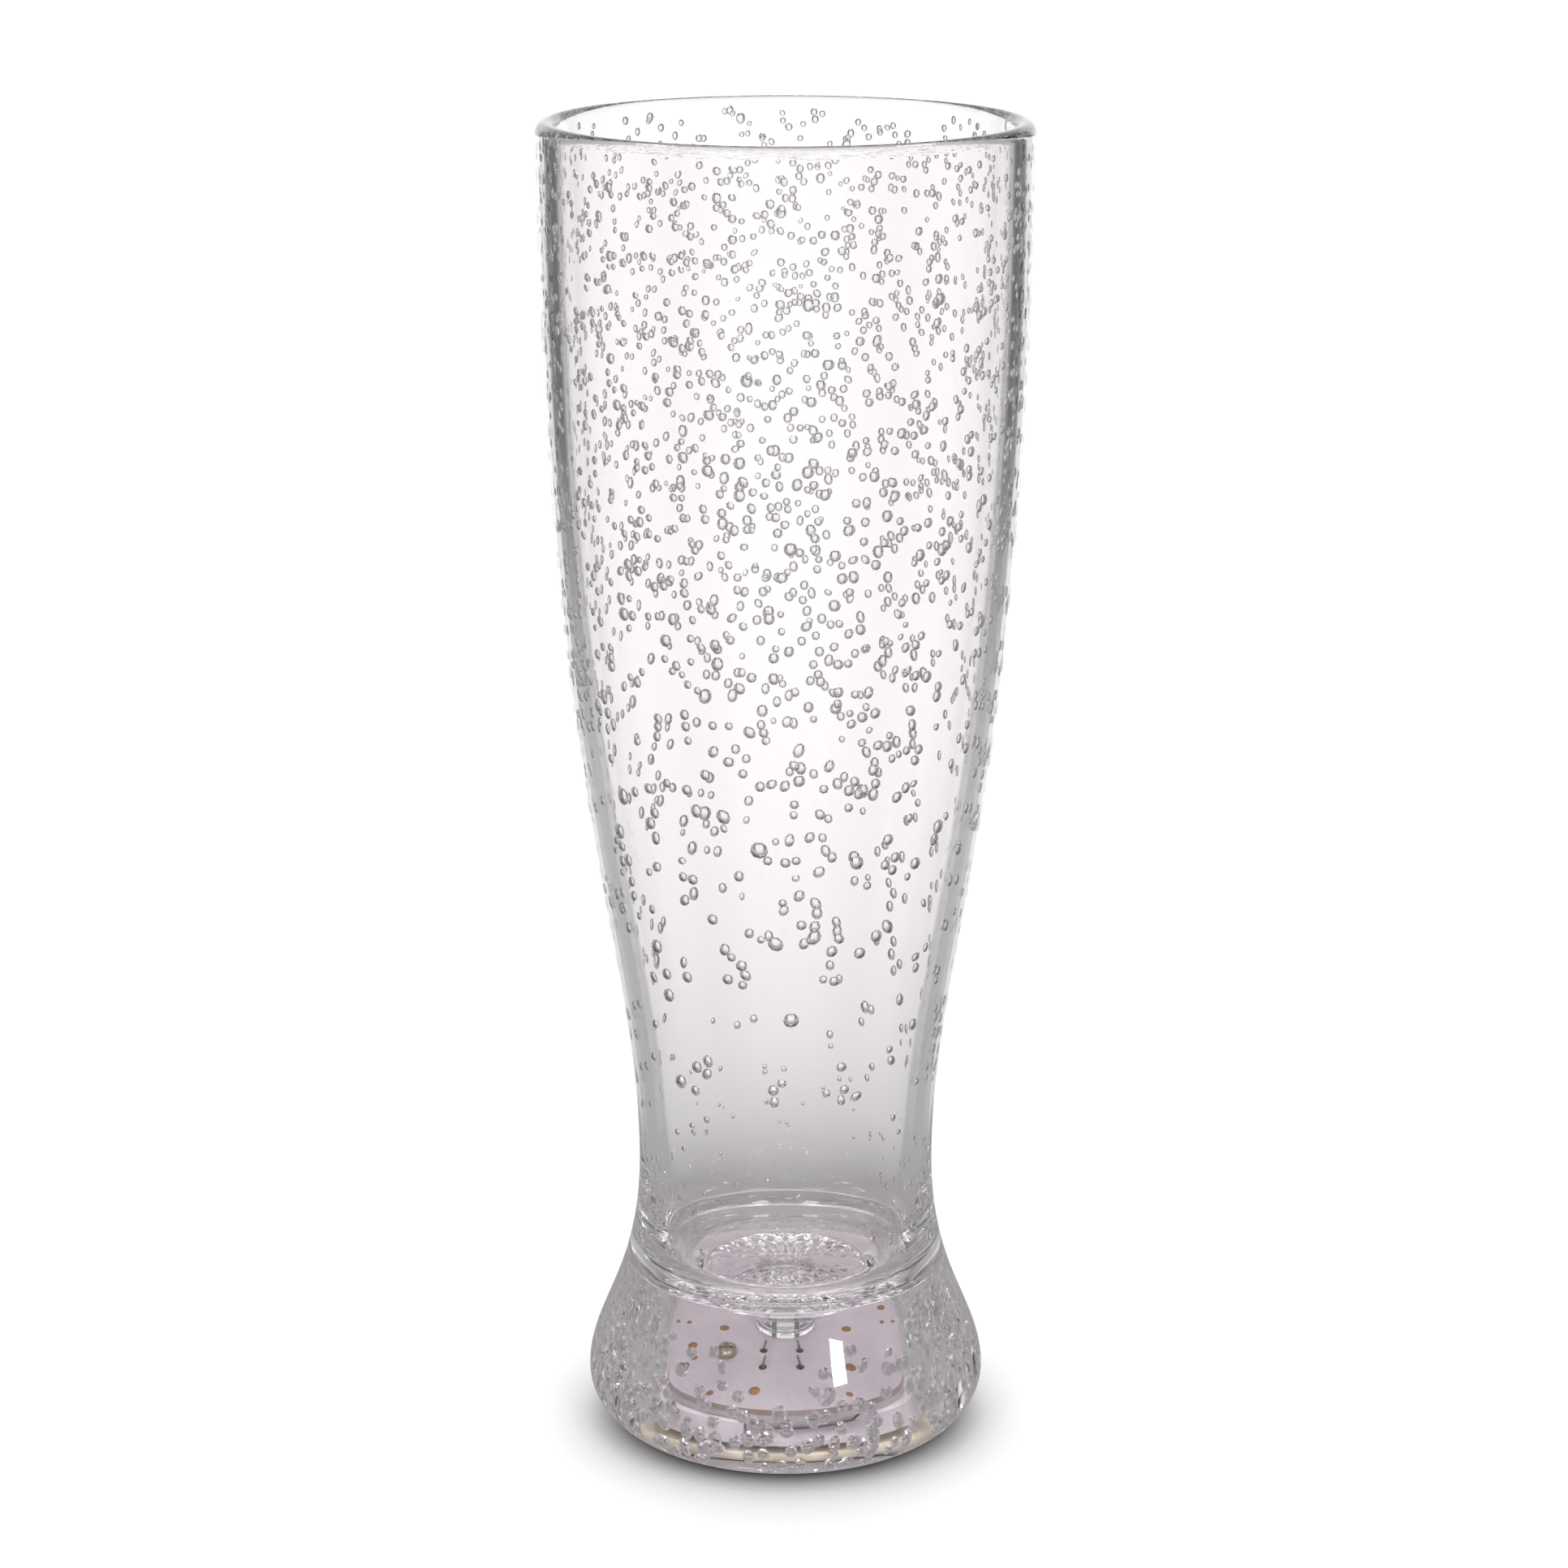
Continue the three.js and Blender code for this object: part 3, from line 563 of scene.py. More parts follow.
@dataclass
class Outline:
    """Heights and radii that the cup, the base and the lamp module share, in millimetres."""

    height: float = 221.0
    rim_radius: float = 39.8
    rim_wall: float = 3.5
    waist_radius: float = 24.8
    waist_height: float = 47.3
    waist_wall: float = 3.1
    body_low_pull: float = 37.4
    body_high_pull: float = 112.0
    body_steps: int = 26
    inner_draft: float = 0.4
    base_radius: float = 33.6
    base_height: float = 9.1
    flare_low_pull: float = 9.8
    flare_high_pull: float = 22.3
    flare_steps: int = 64
    roll_width: float = 12.5
    roll_steps: int = 24
    foot_radius: float = 26.77
    foot_ring: float = 2.5
    neck_wall: float = 2.6
    floor: float = 27.6
    floor_fillet: float = 5.6
    lens: float = 20.0
    seam: float = 30.3
    shell_top: float = 30.1
    spigot_foot: float = 27.5
    spigot_gap: float = 0.3
    joint_edge: float = 0.3
    joint_slack: float = 0.05
    seam_slack: float = 0.01
    edge_round: float = 0.25

    @cached_property
    def flare(self) -> Array:
        """Outer curve from the base's widest ring up to the waist."""
        return bezier(
            np.array([self.base_radius, self.base_height]),
            np.array([self.base_radius, self.base_height + self.flare_low_pull]),
            np.array([self.waist_radius, self.waist_height - self.flare_high_pull]),
            np.array([self.waist_radius, self.waist_height]),
            self.flare_steps,
        )

    @cached_property
    def body(self) -> Array:
        """Outer curve from the waist up to the lip."""
        return bezier(
            np.array([self.waist_radius, self.waist_height]),
            np.array([self.waist_radius, self.waist_height + self.body_low_pull]),
            np.array([self.rim_radius, self.lip - self.body_high_pull]),
            np.array([self.rim_radius, self.lip]),
            self.body_steps,
        )

    @property
    def lip(self) -> float:
        """Height at which the round lip begins."""
        return self.height - self.rim_wall / 2

    @property
    def roll(self) -> Array:
        """Outer curve from the foot's edge out to the base's widest ring: part of an ellipse.

        Returns:
            Rows of radius and height.
        """
        middle = self.base_radius - self.roll_width
        angle = math.acos((self.foot_radius - middle) / self.roll_width)
        rise = self.base_height / math.sin(angle)
        centre, size = (middle, self.base_height), (self.roll_width, rise)
        return arc(centre, size, -math.degrees(angle), 0, self.roll_steps)

    def outer(self, height: Array | float) -> Array:
        """Outer radius of cup or base above its widest ring, at a height."""
        curve = np.concatenate([self.flare[:-1], self.body])
        return np.interp(height, curve[:, 1], curve[:, 0])

    def inner(self, height: Array | float) -> Array:
        """Inner radius of the cup: drafted below the waist, the outer radius less the wall above it.

        Args:
            height: Height or heights above the floor's fillet.

        Returns:
            Radius at each height.
        """
        waist = self.waist_radius - self.waist_wall
        fillet_top = self.floor + self.floor_fillet
        low = np.interp(height, [fillet_top, self.waist_height], [waist - self.inner_draft, waist])
        wall = np.interp(height, [self.waist_height, self.lip], [self.waist_wall, self.rim_wall])
        return np.where(np.asarray(height) < self.waist_height, low, self.outer(height) - wall)

    def in_joint(self, points: Array, faces: Faces) -> Mask:
        """Triangles that lie on the cemented joint: round the spigot and along the seam.

        Args:
            points: Points of the cup or the base.
            faces: Its triangles.

        Returns:
            True for each triangle whose middle is within the joint.
        """
        middle = points[faces].mean(1)
        reach, height = np.hypot(middle[:, 0], middle[:, 1]), middle[:, 2]
        spigot = self.chamber(self.seam) - self.spigot_gap - self.joint_slack
        inside = (reach > spigot) & (reach < self.outer(self.seam) - self.joint_edge)
        above = height > self.spigot_foot + self.joint_edge
        return inside & above & (height < self.seam + self.seam_slack)

    def chamber(self, height: Array | float) -> Array:
        """Radius of the hollow in the base at a height."""
        foot, neck = self.foot_radius - self.foot_ring, self.outer(self.shell_top) - self.neck_wall
        return foot + (neck - foot) * np.asarray(height) / self.shell_top


@dataclass
class BubbleRecipe:
    """Air bubbles moulded into a wall: how many, where up the wall, and how large.

    Heights and sizes, which are the bubbles' widths, are in millimetres, and bearings in degrees. The
    density goes with the heights and the sizes go with the size heights.
    """

    seed: int
    count: int
    heights: tuple[float, ...]
    density: tuple[float, ...]
    size_heights: tuple[float, ...]
    sizes: tuple[float, ...]
    size_spread: float = 0.16
    clustered: float = 0.26
    stretch: float = 0.16
    flatness: float = 0.42
    bearings: tuple[float, ...] = ()
    bearing_spread: float = 0.0
    roll_spread: float = 0.5
    string_gap: float = 0.4
    draw_steps: int = 400
    rng: np.random.Generator = field(init=False)

    def __post_init__(self) -> None:
        """Seed the recipe's own random numbers."""
        self.rng = np.random.default_rng(self.seed)

    def heights_drawn(self) -> Array:
        """Heights of the bubbles, drawn so that their spacing follows the density up the wall.

        Even random shares are read backwards through the density's running sum.

        Returns:
            A height for each bubble.
        """
        z = np.linspace(self.heights[0], self.heights[-1], self.draw_steps)
        share = np.cumsum(np.interp(z, self.heights, self.density))
        return np.interp(self.rng.random(self.count), share / share[-1], z)

    def bearings_drawn(self) -> Array:
        """Bearings of the bubbles, even all round or normally spread about the favoured ones.

        Returns:
            A bearing in radians for each bubble.
        """
        if not self.bearings:
            return self.rng.random(self.count) * TAU
        middle = self.rng.choice(self.bearings, self.count)
        return np.radians(middle + self.bearing_spread * self.rng.standard_normal(self.count))

    def radii_drawn(self, height: Array) -> Array:
        """Bubble radii: the usual size at that height times a log-normal spread."""
        usual = np.interp(height, self.size_heights, self.sizes) / 2
        return usual * np.exp(self.size_spread * self.rng.standard_normal(len(height)))

    def gathered(self, turn: Array, height: Array, round_radius: float) -> tuple[Array, Array]:
        """Move a share of the bubbles beside another, so that some stand in pairs and short strings.

        Args:
            turn: Bearing of each bubble in radians.
            height: Height of each bubble.
            round_radius: Usual wall radius, which turns a distance into a bearing.

        Returns:
            The new bearings and heights.
        """
        n = len(turn)
        moved = self.rng.random(n) < self.clustered
        host = self.rng.permutation(n)
        away = self.rng.random(n) * TAU
        usual = np.interp(height[host], self.size_heights, self.sizes)
        reach = usual * (1.0 + self.string_gap * self.rng.random(n))
        near_turn = turn[host] + reach * np.cos(away) / round_radius
        near_height = np.clip(height[host] + reach * np.sin(away), self.heights[0], self.heights[-1])
        return np.where(moved, near_turn, turn), np.where(moved, near_height, height)


# Plastic left between a bubble and the wall's faces, in millimetres, the most of the wall that half a
# bubble takes up, and the distance of two bubbles as a multiple of their radii
FACE_MARGIN = 0.2
WALL_SHARE = 0.46
APART = 1.02
# A bubble thinner than this is left out, and one longer than that has the second count of columns
THINNEST = 0.05
LARGE_BUBBLE = 0.85
BUBBLE_COLUMNS = (7, 9)
BUBBLE_LATITUDES = (-90, -40, 0, 40, 90)


def clear_of_others(centres: Array, radii: Array) -> Mask:
    """Which bubbles to keep so that none runs into an earlier one.

    Two bubbles meet where their centres are closer than the sum of their radii.

    Args:
        centres: Bubble centres in millimetres.
        radii: Bubble radii in millimetres.

    Returns:
        True for each bubble that meets no bubble before it in the list.
    """
    square = (centres**2).sum(1)
    gap = square[:, None] + square[None, :] - 2 * centres @ centres.T
    meets = gap < (APART * (radii[:, None] + radii[None, :])) ** 2
    return ~np.tril(meets, -1).any(1)


def bubble_surfaces(centres: Array, axes: Array, radii: Array, columns: int) -> Shape:
    """Surfaces of many flattened round voids.

    A unit ball of latitude rings is scaled by each bubble's three radii along its own axes and
    moved to its centre. The triangles face into the void, which is out of the plastic.

    Args:
        centres: Centre of each bubble.
        axes: Three unit vectors of each bubble, as rows.
        radii: Half-length along each of those vectors.
        columns: Number of points round each ring of a ball.

    Returns:
        Points and triangles of all the bubbles together.
    """
    latitude = np.radians(BUBBLE_LATITUDES)
    half_circle = np.stack([np.abs(np.cos(latitude)), np.sin(latitude)], -1).round(9)
    ball, faces = revolve(half_circle, columns)
    points = centres[:, None] + np.einsum("vk,nk,nkx->nvx", ball, radii, axes)
    offsets = np.arange(len(centres))[:, None, None] * len(ball)
    return points.reshape(-1, 3), (faces[None, :, ::-1] + offsets).reshape(-1, 3)


def wall_axes(turn: Array, roll: Array) -> Array:
    """Axes of bubbles in a round wall: two in the wall's face, turned by roll, and one out through it.

    Args:
        turn: Bearing of each bubble in radians.
        roll: Turn of each bubble within the wall's face.

    Returns:
        Three unit vectors for each bubble, as rows.
    """
    zero = np.zeros_like(turn)
    along = np.stack([-np.sin(turn), np.cos(turn), zero], -1)
    up = np.stack([zero, zero, zero + 1], -1)
    out = np.stack([np.cos(turn), np.sin(turn), zero], -1)
    first = np.cos(roll)[:, None] * along + np.sin(roll)[:, None] * up
    second = np.cos(roll)[:, None] * up - np.sin(roll)[:, None] * along
    return np.stack([first, second, out], 1)


def bubbles_in_wall(
    recipes: tuple[BubbleRecipe, ...], outer: Array, inner: Array, heights: Array
) -> Shape:
    """Scatter bubbles in a round wall, clear of both its faces and of each other.

    They are set apart on the wall rolled out flat, with its thickness stretched by the flatness, so
    that flattened bubbles count as round ones.

    Args:
        recipes: Numbers, heights and sizes of each sort of bubble.
        outer: Outer radius of the wall at the given heights.
        inner: Inner radius of the wall at the given heights.
        heights: Heights at which the wall is given, rising.

    Returns:
        Points and triangles of the bubbles.
    """
    drawn = []
    for recipe in recipes:
        rng, count = recipe.rng, recipe.count
        turn, height = recipe.bearings_drawn(), recipe.heights_drawn()
        turn, height = recipe.gathered(turn, height, float(outer.mean()))
        radius = recipe.radii_drawn(height)
        far, near = np.interp(height, heights, outer), np.interp(height, heights, inner)
        through = np.minimum(radius * recipe.flatness, WALL_SHARE * (far - near) - FACE_MARGIN)
        first, last = near + FACE_MARGIN + through, far - FACE_MARGIN - through
        depth = first + rng.random(count) * (last - first)
        aspect = np.exp(recipe.stretch * np.abs(rng.standard_normal(count)))
        roll = recipe.roll_spread * rng.standard_normal(count)
        across, along = radius / np.sqrt(aspect), radius * np.sqrt(aspect)
        unrolled = far * (turn % TAU), height, depth / recipe.flatness
        drawn.append(np.stack([turn, height, depth, across, along, through, roll, *unrolled], -1))
    turn, height, depth, across, along, through, roll, *unrolled = np.concatenate(drawn).T
    centres = np.stack([depth * np.cos(turn), depth * np.sin(turn), height], -1)
    radii = np.stack([across, along, through], -1)
    axes = wall_axes(turn, roll)
    keep = clear_of_others(np.stack(unrolled, -1), along) & (through > THINNEST)
    LOG.info("%d bubbles kept of %d", keep.sum(), len(keep))
    large = keep & (along > LARGE_BUBBLE)
    sorts = zip((keep & ~large, large), BUBBLE_COLUMNS)
    return merge_shapes(*(bubble_surfaces(centres[s], axes[s], radii[s], n) for s, n in sorts))


def merge_shapes(*shapes: Shape) -> Shape:
    """Put several shapes into one list of points and triangles."""
    starts = np.cumsum([0] + [len(points) for points, _ in shapes[:-1]])
    faces = [part + start for (_, part), start in zip(shapes, starts)]
    return np.concatenate([points for points, _ in shapes]), np.concatenate(faces)


@dataclass
class Cup:
    """Clear cup: waisted body, full round lip, thick floor with a rosette cut into its underside.

    Sizes are in millimetres.
    """

    outline: Outline
    spigot_lip: float = 1.0
    seam_rise: float = 1.5
    shoulder: float = 0.15
    inside_steps: int = 24
    lip_steps: int = 14
    fillet_steps: int = 24
    floor_steps: int = 3
    wall_steps: int = 200
    rosette_radius: float = 14.1
    rosette_border: float = 14.7
    rosette_depth: float = 0.75
    rosette_rings: int = 6
    rosette_growth: float = 1.25
    groove_share: float = 0.5
    petals: int = 24
    segments: int = 192
    bubbles: BubbleRecipe = field(
        default_factory=lambda: BubbleRecipe(
            seed=11,
            count=3000,
            heights=(36, 48, 60, 80, 100, 130, 160, 195, 212, 218.6),
            density=(3.0, 3.0, 3.2, 5.0, 7.0, 12.5, 22.0, 30.0, 29.0, 25.0),
            size_heights=(36, 48, 57, 66, 80, 105, 125, 150, 185, 218),
            sizes=(0.6, 0.7, 1.2, 1.8, 1.9, 1.85, 1.72, 1.55, 1.36, 1.2),
        )
    )
    neck_bubbles: BubbleRecipe = field(
        default_factory=lambda: BubbleRecipe(
            seed=47,
            count=120,
            heights=(33.5, 36, 42, 50),
            density=(1.0, 1.0, 0.7, 0.2),
            size_heights=(33, 50),
            sizes=(1.25, 0.9),
            clustered=0.5,
            flatness=0.7,
            bearings=(0.0, 180.0),
            bearing_spread=24.0,
        )
    )
    # Middle of each round bubble in the floor: x, y and height
    floor_bubbles: tuple[tuple[float, float, float], ...] = (
        (-7.3, 0.0, 24.0), (-3.9, 0.4, 24.2), (-4.6, -7.7, 24.0), (-4.2, -11.3, 23.6), (-2.7, -10.2, 24.4),
        (3.0, -6.7, 24.2), (2.4, -10.6, 23.8), (4.4, -11.3, 22.2), (8.7, -10.9, 22.3), (8.0, -13.0, 22.7),
        (11.7, 3.5, 24.0), (13.4, -5.6, 24.3), (15.1, -6.3, 25.0), (-15.4, -3.9, 25.0), (-12.7, -2.8, 24.0),
        (-12.7, 9.2, 24.5), (-7.6, -13.5, 24.4), (5.6, 9.3, 25.2), (-1.5, 12.8, 24.6), (9.4, 8.2, 23.4),
    )
    floor_bubble_radii: Point = (0.55, 0.75)
    floor_bubble_columns: int = 10
    floor_seed: int = 5

    def shape(self) -> Shape:
        """Surface of the cup without its bubbles.

        The outline runs from the rosette's edge out along the underside, up the outside, over the
        lip and down the inside to the middle of the floor.

        Returns:
            Points and outward triangles.
        """
        form = self.outline
        spigot = float(form.chamber(form.seam)) - form.spigot_gap
        above_seam = form.seam + self.seam_rise
        fillet_top = form.floor + form.floor_fillet
        corner = float(form.inner(fillet_top)) - form.floor_fillet
        edge = np.array(
            [
                [self.rosette_radius, form.lens],
                [self.rosette_border, form.lens],
                [spigot - self.spigot_lip, form.spigot_foot],
                [spigot, form.spigot_foot],
                [spigot, form.seam],
                [float(form.outer(form.seam)), form.seam],
                [float(form.outer(above_seam)), above_seam],
            ]
        )
        inside = np.linspace(form.lip, fillet_top + self.shoulder, self.inside_steps)
        inside = np.concatenate([[form.lip - self.shoulder], inside[1:], [fillet_top]])
        round_lip, fillet = (form.rim_wall / 2,) * 2, (form.floor_fillet,) * 2
        lip_middle = (form.rim_radius - form.rim_wall / 2, form.lip)
        profile = np.concatenate(
            [
                soften(edge, form.edge_round),
                form.flare[form.flare[:, 1] > above_seam + LEAD_GAP],
                form.body[1:-1],
                np.array([[form.rim_radius, form.lip - self.shoulder], [form.rim_radius, form.lip]]),
                arc(lip_middle, round_lip, 0, 180, self.lip_steps)[1:],
                np.stack([form.inner(inside), inside], -1),
                arc((corner, fillet_top), fillet, 0, -90, self.fillet_steps)[1:],
                span((corner - self.shoulder, form.floor), (0, form.floor), self.floor_steps),
            ]
        )
        return weld(*merge_shapes(revolve(profile, self.segments), self.rosette()))

    def rosette(self) -> Shape:
        """Facets under the floor, cut by two crossing sets of V-grooves.

        A net of rings and half petals is split finely. In the net's cell at ring k and half petal
        i, with a and b the shares across and along it, the facet rises with |a - b| from the groove
        where k + i is even and with |1 - a - b| where it is odd, so the grooves are the cells'
        diagonals. Past the groove's share of the cell the facet is level, and the relief fades to
        nothing at the middle and the rim.

        Returns:
            Points and triangles that face down.
        """
        split = self.segments // (2 * self.petals)
        rows = self.rosette_rings * split
        row, column = np.arange(rows + 1)[:, None], np.arange(self.segments)[None, :]
        along, across = row % split / split, column % split / split
        odd = (row // split + column // split) % 2 == 1
        facet = np.where(odd, np.abs(1 - across - along), np.abs(across - along))
        facet = np.minimum(facet / self.groove_share, 1.0)
        share = row / rows
        fade = np.clip(share * self.rosette_rings, 0, 1) * np.clip((1 - share) * 2 * self.rosette_rings, 0, 1)
        radius = self.rosette_radius * share**self.rosette_growth
        turn = column * TAU / self.segments
        height = self.outline.lens + self.rosette_depth * fade * (1 - facet)
        points = np.stack([radius * np.cos(turn), radius * np.sin(turn), height], -1).reshape(-1, 3)
        faces = grid_faces(rows + 1, self.segments, other=odd[:-1])
        return points, outward(points, faces)[:, ::-1]

    def floor_voids(self) -> Shape:
        """The round bubbles in the thick floor: balls of slightly different sizes.

        Returns:
            Points and triangles of the bubbles.
        """
        centres = np.array(self.floor_bubbles)
        rng = np.random.default_rng(self.floor_seed)
        radii = rng.uniform(*self.floor_bubble_radii, (len(centres), 1)) * np.ones(3)
        bearing = np.arctan2(centres[:, 1], centres[:, 0])
        axes = wall_axes(bearing, 0 * bearing)
        return bubble_surfaces(centres, axes, radii, self.floor_bubble_columns)

    def build(self) -> bpy.types.Object:
        """Make the cup with its bubbles.

        Returns:
            The cup's object.
        """
        form = self.outline
        heights = np.linspace(form.floor + form.floor_fillet, form.lip, self.wall_steps)
        recipes = (self.bubbles, self.neck_bubbles)
        voids = bubbles_in_wall(recipes, form.outer(heights), form.inner(heights), heights)
        points, faces = merge_shapes(self.shape(), voids, self.floor_voids())
        bonded = form.in_joint(points, faces)
        middle, half_depth = points[faces].mean(1), self.rosette_depth / 2
        under = np.abs(middle[:, 2] - form.lens - half_depth) < half_depth + form.seam_slack
        facets = under & (np.hypot(middle[:, 0], middle[:, 1]) < self.rosette_radius)
        return add_piece(
            "clear_cup",
            points,
            faces,
            ACRYLIC,
            stands_for=("cup",),
            facets=facets,
            patches=((CEMENT, bonded),),
        )


@dataclass
class BaseShell:
    """Clear flared base: thick bulging wall round the lamp chamber, open above and below.

    Sizes are in millimetres.
    """

    outline: Outline
    segments: int = 192
    top_gap: float = 0.6
    edge_run: float = 1.0
    chamber_steps: int = 42
    wall_steps: int = 120
    wall_start: float = 0.6
    low_bubbles: BubbleRecipe = field(
        default_factory=lambda: BubbleRecipe(
            seed=23,
            count=580,
            heights=(1.8, 3, 8, 10.5, 13),
            density=(0.8, 1.8, 2.0, 1.4, 0.2),
            size_heights=(1.8, 6, 12),
            sizes=(1.7, 2.4, 2.3),
            clustered=0.6,
            flatness=0.85,
        )
    )
    side_bubbles: BubbleRecipe = field(
        default_factory=lambda: BubbleRecipe(
            seed=31,
            count=520,
            heights=(5, 9, 14, 20, 24, 26.5),
            density=(0.8, 1.3, 1.5, 1.1, 0.6, 0.3),
            size_heights=(5, 12, 18, 27),
            sizes=(2.4, 2.3, 2.0, 1.4),
            stretch=0.4,
            flatness=0.85,
            bearings=(2.0, 178.0),
            bearing_spread=27.0,
        )
    )

    def shape(self) -> Shape:
        """Surface of the shell: foot, roll, flare, top edge and chamber wall, carried round the axis.

        Returns:
            Points and outward triangles.
        """
        form = self.outline
        flare = form.flare[form.flare[:, 1] < form.shell_top - self.top_gap]
        under_top = form.shell_top - self.edge_run
        top = np.array(
            [
                flare[-1],
                [float(form.outer(form.shell_top)), form.shell_top],
                [float(form.chamber(form.shell_top)), form.shell_top],
                [float(form.chamber(under_top)), under_top],
            ]
        )
        foot = np.array(
            [
                [float(form.chamber(self.edge_run)), self.edge_run],
                [float(form.chamber(0)), 0.0],
                [form.foot_radius, 0.0],
                form.roll[1],
            ]
        )
        wall = span(tuple(top[-1]), tuple(foot[0]), self.chamber_steps)[1:-1]
        top, foot = soften(top, form.edge_round), soften(foot, form.edge_round)
        profile = np.concatenate([form.roll[1:-1], flare[:-1], top, wall, foot[:-1]])
        return revolve(profile, self.segments, ring=True)

    def build(self) -> bpy.types.Object:
        """Make the base with its bubbles.

        Returns:
            The base's object.
        """
        form = self.outline
        curve = np.concatenate([form.roll[:-1], form.flare])
        heights = np.linspace(self.wall_start, form.shell_top, self.wall_steps)
        outer = np.interp(heights, curve[:, 1], curve[:, 0])
        recipes = (self.low_bubbles, self.side_bubbles)
        voids = bubbles_in_wall(recipes, outer, form.chamber(heights), heights)
        points, faces = merge_shapes(self.shape(), voids)
        # The bubbles' skin carries a painted grey shade that draws their rims
        in_bubbles = np.arange(len(faces)) >= len(faces) - len(voids[1])
        return add_piece(
            "clear_base",
            points,
            faces,
            ACRYLIC,
            stands_for=("base_shell",),
            patches=((CEMENT, form.in_joint(points, faces)), (BUBBLE_SKIN_PAINTED_SHADE, in_bubbles)),
        )


def smooth_shading(join: float, sharp_degrees: float) -> bpy.types.NodeTree:
    """Node group that joins a solid's loose triangles and shades them smooth up to an angle.

    Args:
        join: Distance in millimetres within which points are one.
        sharp_degrees: Edges that bend more than this stay sharp.

    Returns:
        The geometry node group.
    """
    tree = bpy.data.node_groups.new("smooth_shading", "GeometryNodeTree")
    for direction in ("INPUT", "OUTPUT"):
        tree.interface.new_socket("Geometry", in_out=direction, socket_type="NodeSocketGeometry")
    source = add_node(tree, "NodeGroupInput").outputs[0]
    joined = add_node(tree, "GeometryNodeMergeByDistance", {"Distance": join * MM}, {"Geometry": source})
    angle = add_node(tree, "GeometryNodeInputMeshEdgeAngle").outputs["Unsigned Angle"]
    flat = add_node(
        tree, "FunctionNodeCompare", {"operation": "LESS_THAN", 1: math.radians(sharp_degrees)}, {0: angle}
    )
    edges = add_node(
        tree, "GeometryNodeSetShadeSmooth", {"domain": "EDGE"}, {0: joined.outputs[0], 2: flat.outputs[0]}
    )
    whole = add_node(tree, "GeometryNodeSetShadeSmooth", {"domain": "FACE", 2: True}, {0: edges.outputs[0]})
    add_node(tree, "NodeGroupOutput", {}, {0: whole.outputs[0]})
    return tree


@dataclass
class PlainParts:
    """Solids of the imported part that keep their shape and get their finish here.

    Each finish is listed under the start of the solids' names. Sizes are in millimetres.
    """

    finishes: dict[str, SolidFinish] = field(
        default_factory=lambda: {
            "bottom_cover": WHITE_ABS,
            "battery_door": WHITE_ABS,
            "button_cell_": CELL,
            "contact_": TIN,
            "led_anode_lead": TIN,
            "led_cathode_lead": TIN,
            "switch_leg_": TIN,
            "switch_body": BLACK,
            "switch_plunger": BLACK,
            "controller_chip": BLACK,
            "board_screw_": NICKEL,
            "door_screw": NICKEL,
        }
    )
    join: float = 0.002
    sharp_degrees: float = 35.0
    rounding: float = 0.1
    rounding_steps: int = 2
    rounded_degrees: float = 50.0

    def build(self) -> None:
        """Dress every solid whose name starts with one of the listed names."""
        shading = smooth_shading(self.join, self.sharp_degrees)
        for name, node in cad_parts.items():
            finish = next((f for start, f in self.finishes.items() if name.startswith(start)), None)
            if finish is None or node.hide_render:
                continue
            node.data.materials.clear()
            node.data.materials.append(finish.material)
            modifier = node.modifiers.new("smooth_shading", "NODES")
            modifier.node_group = shading
            rounding = node.modifiers.new("rounded_edges", "BEVEL")
            rounding.width, rounding.segments = self.rounding * MM, self.rounding_steps
            rounding.limit_method, rounding.angle_limit = "ANGLE", math.radians(self.rounded_degrees)
            LOG.info("%s: %s", name, finish.name)


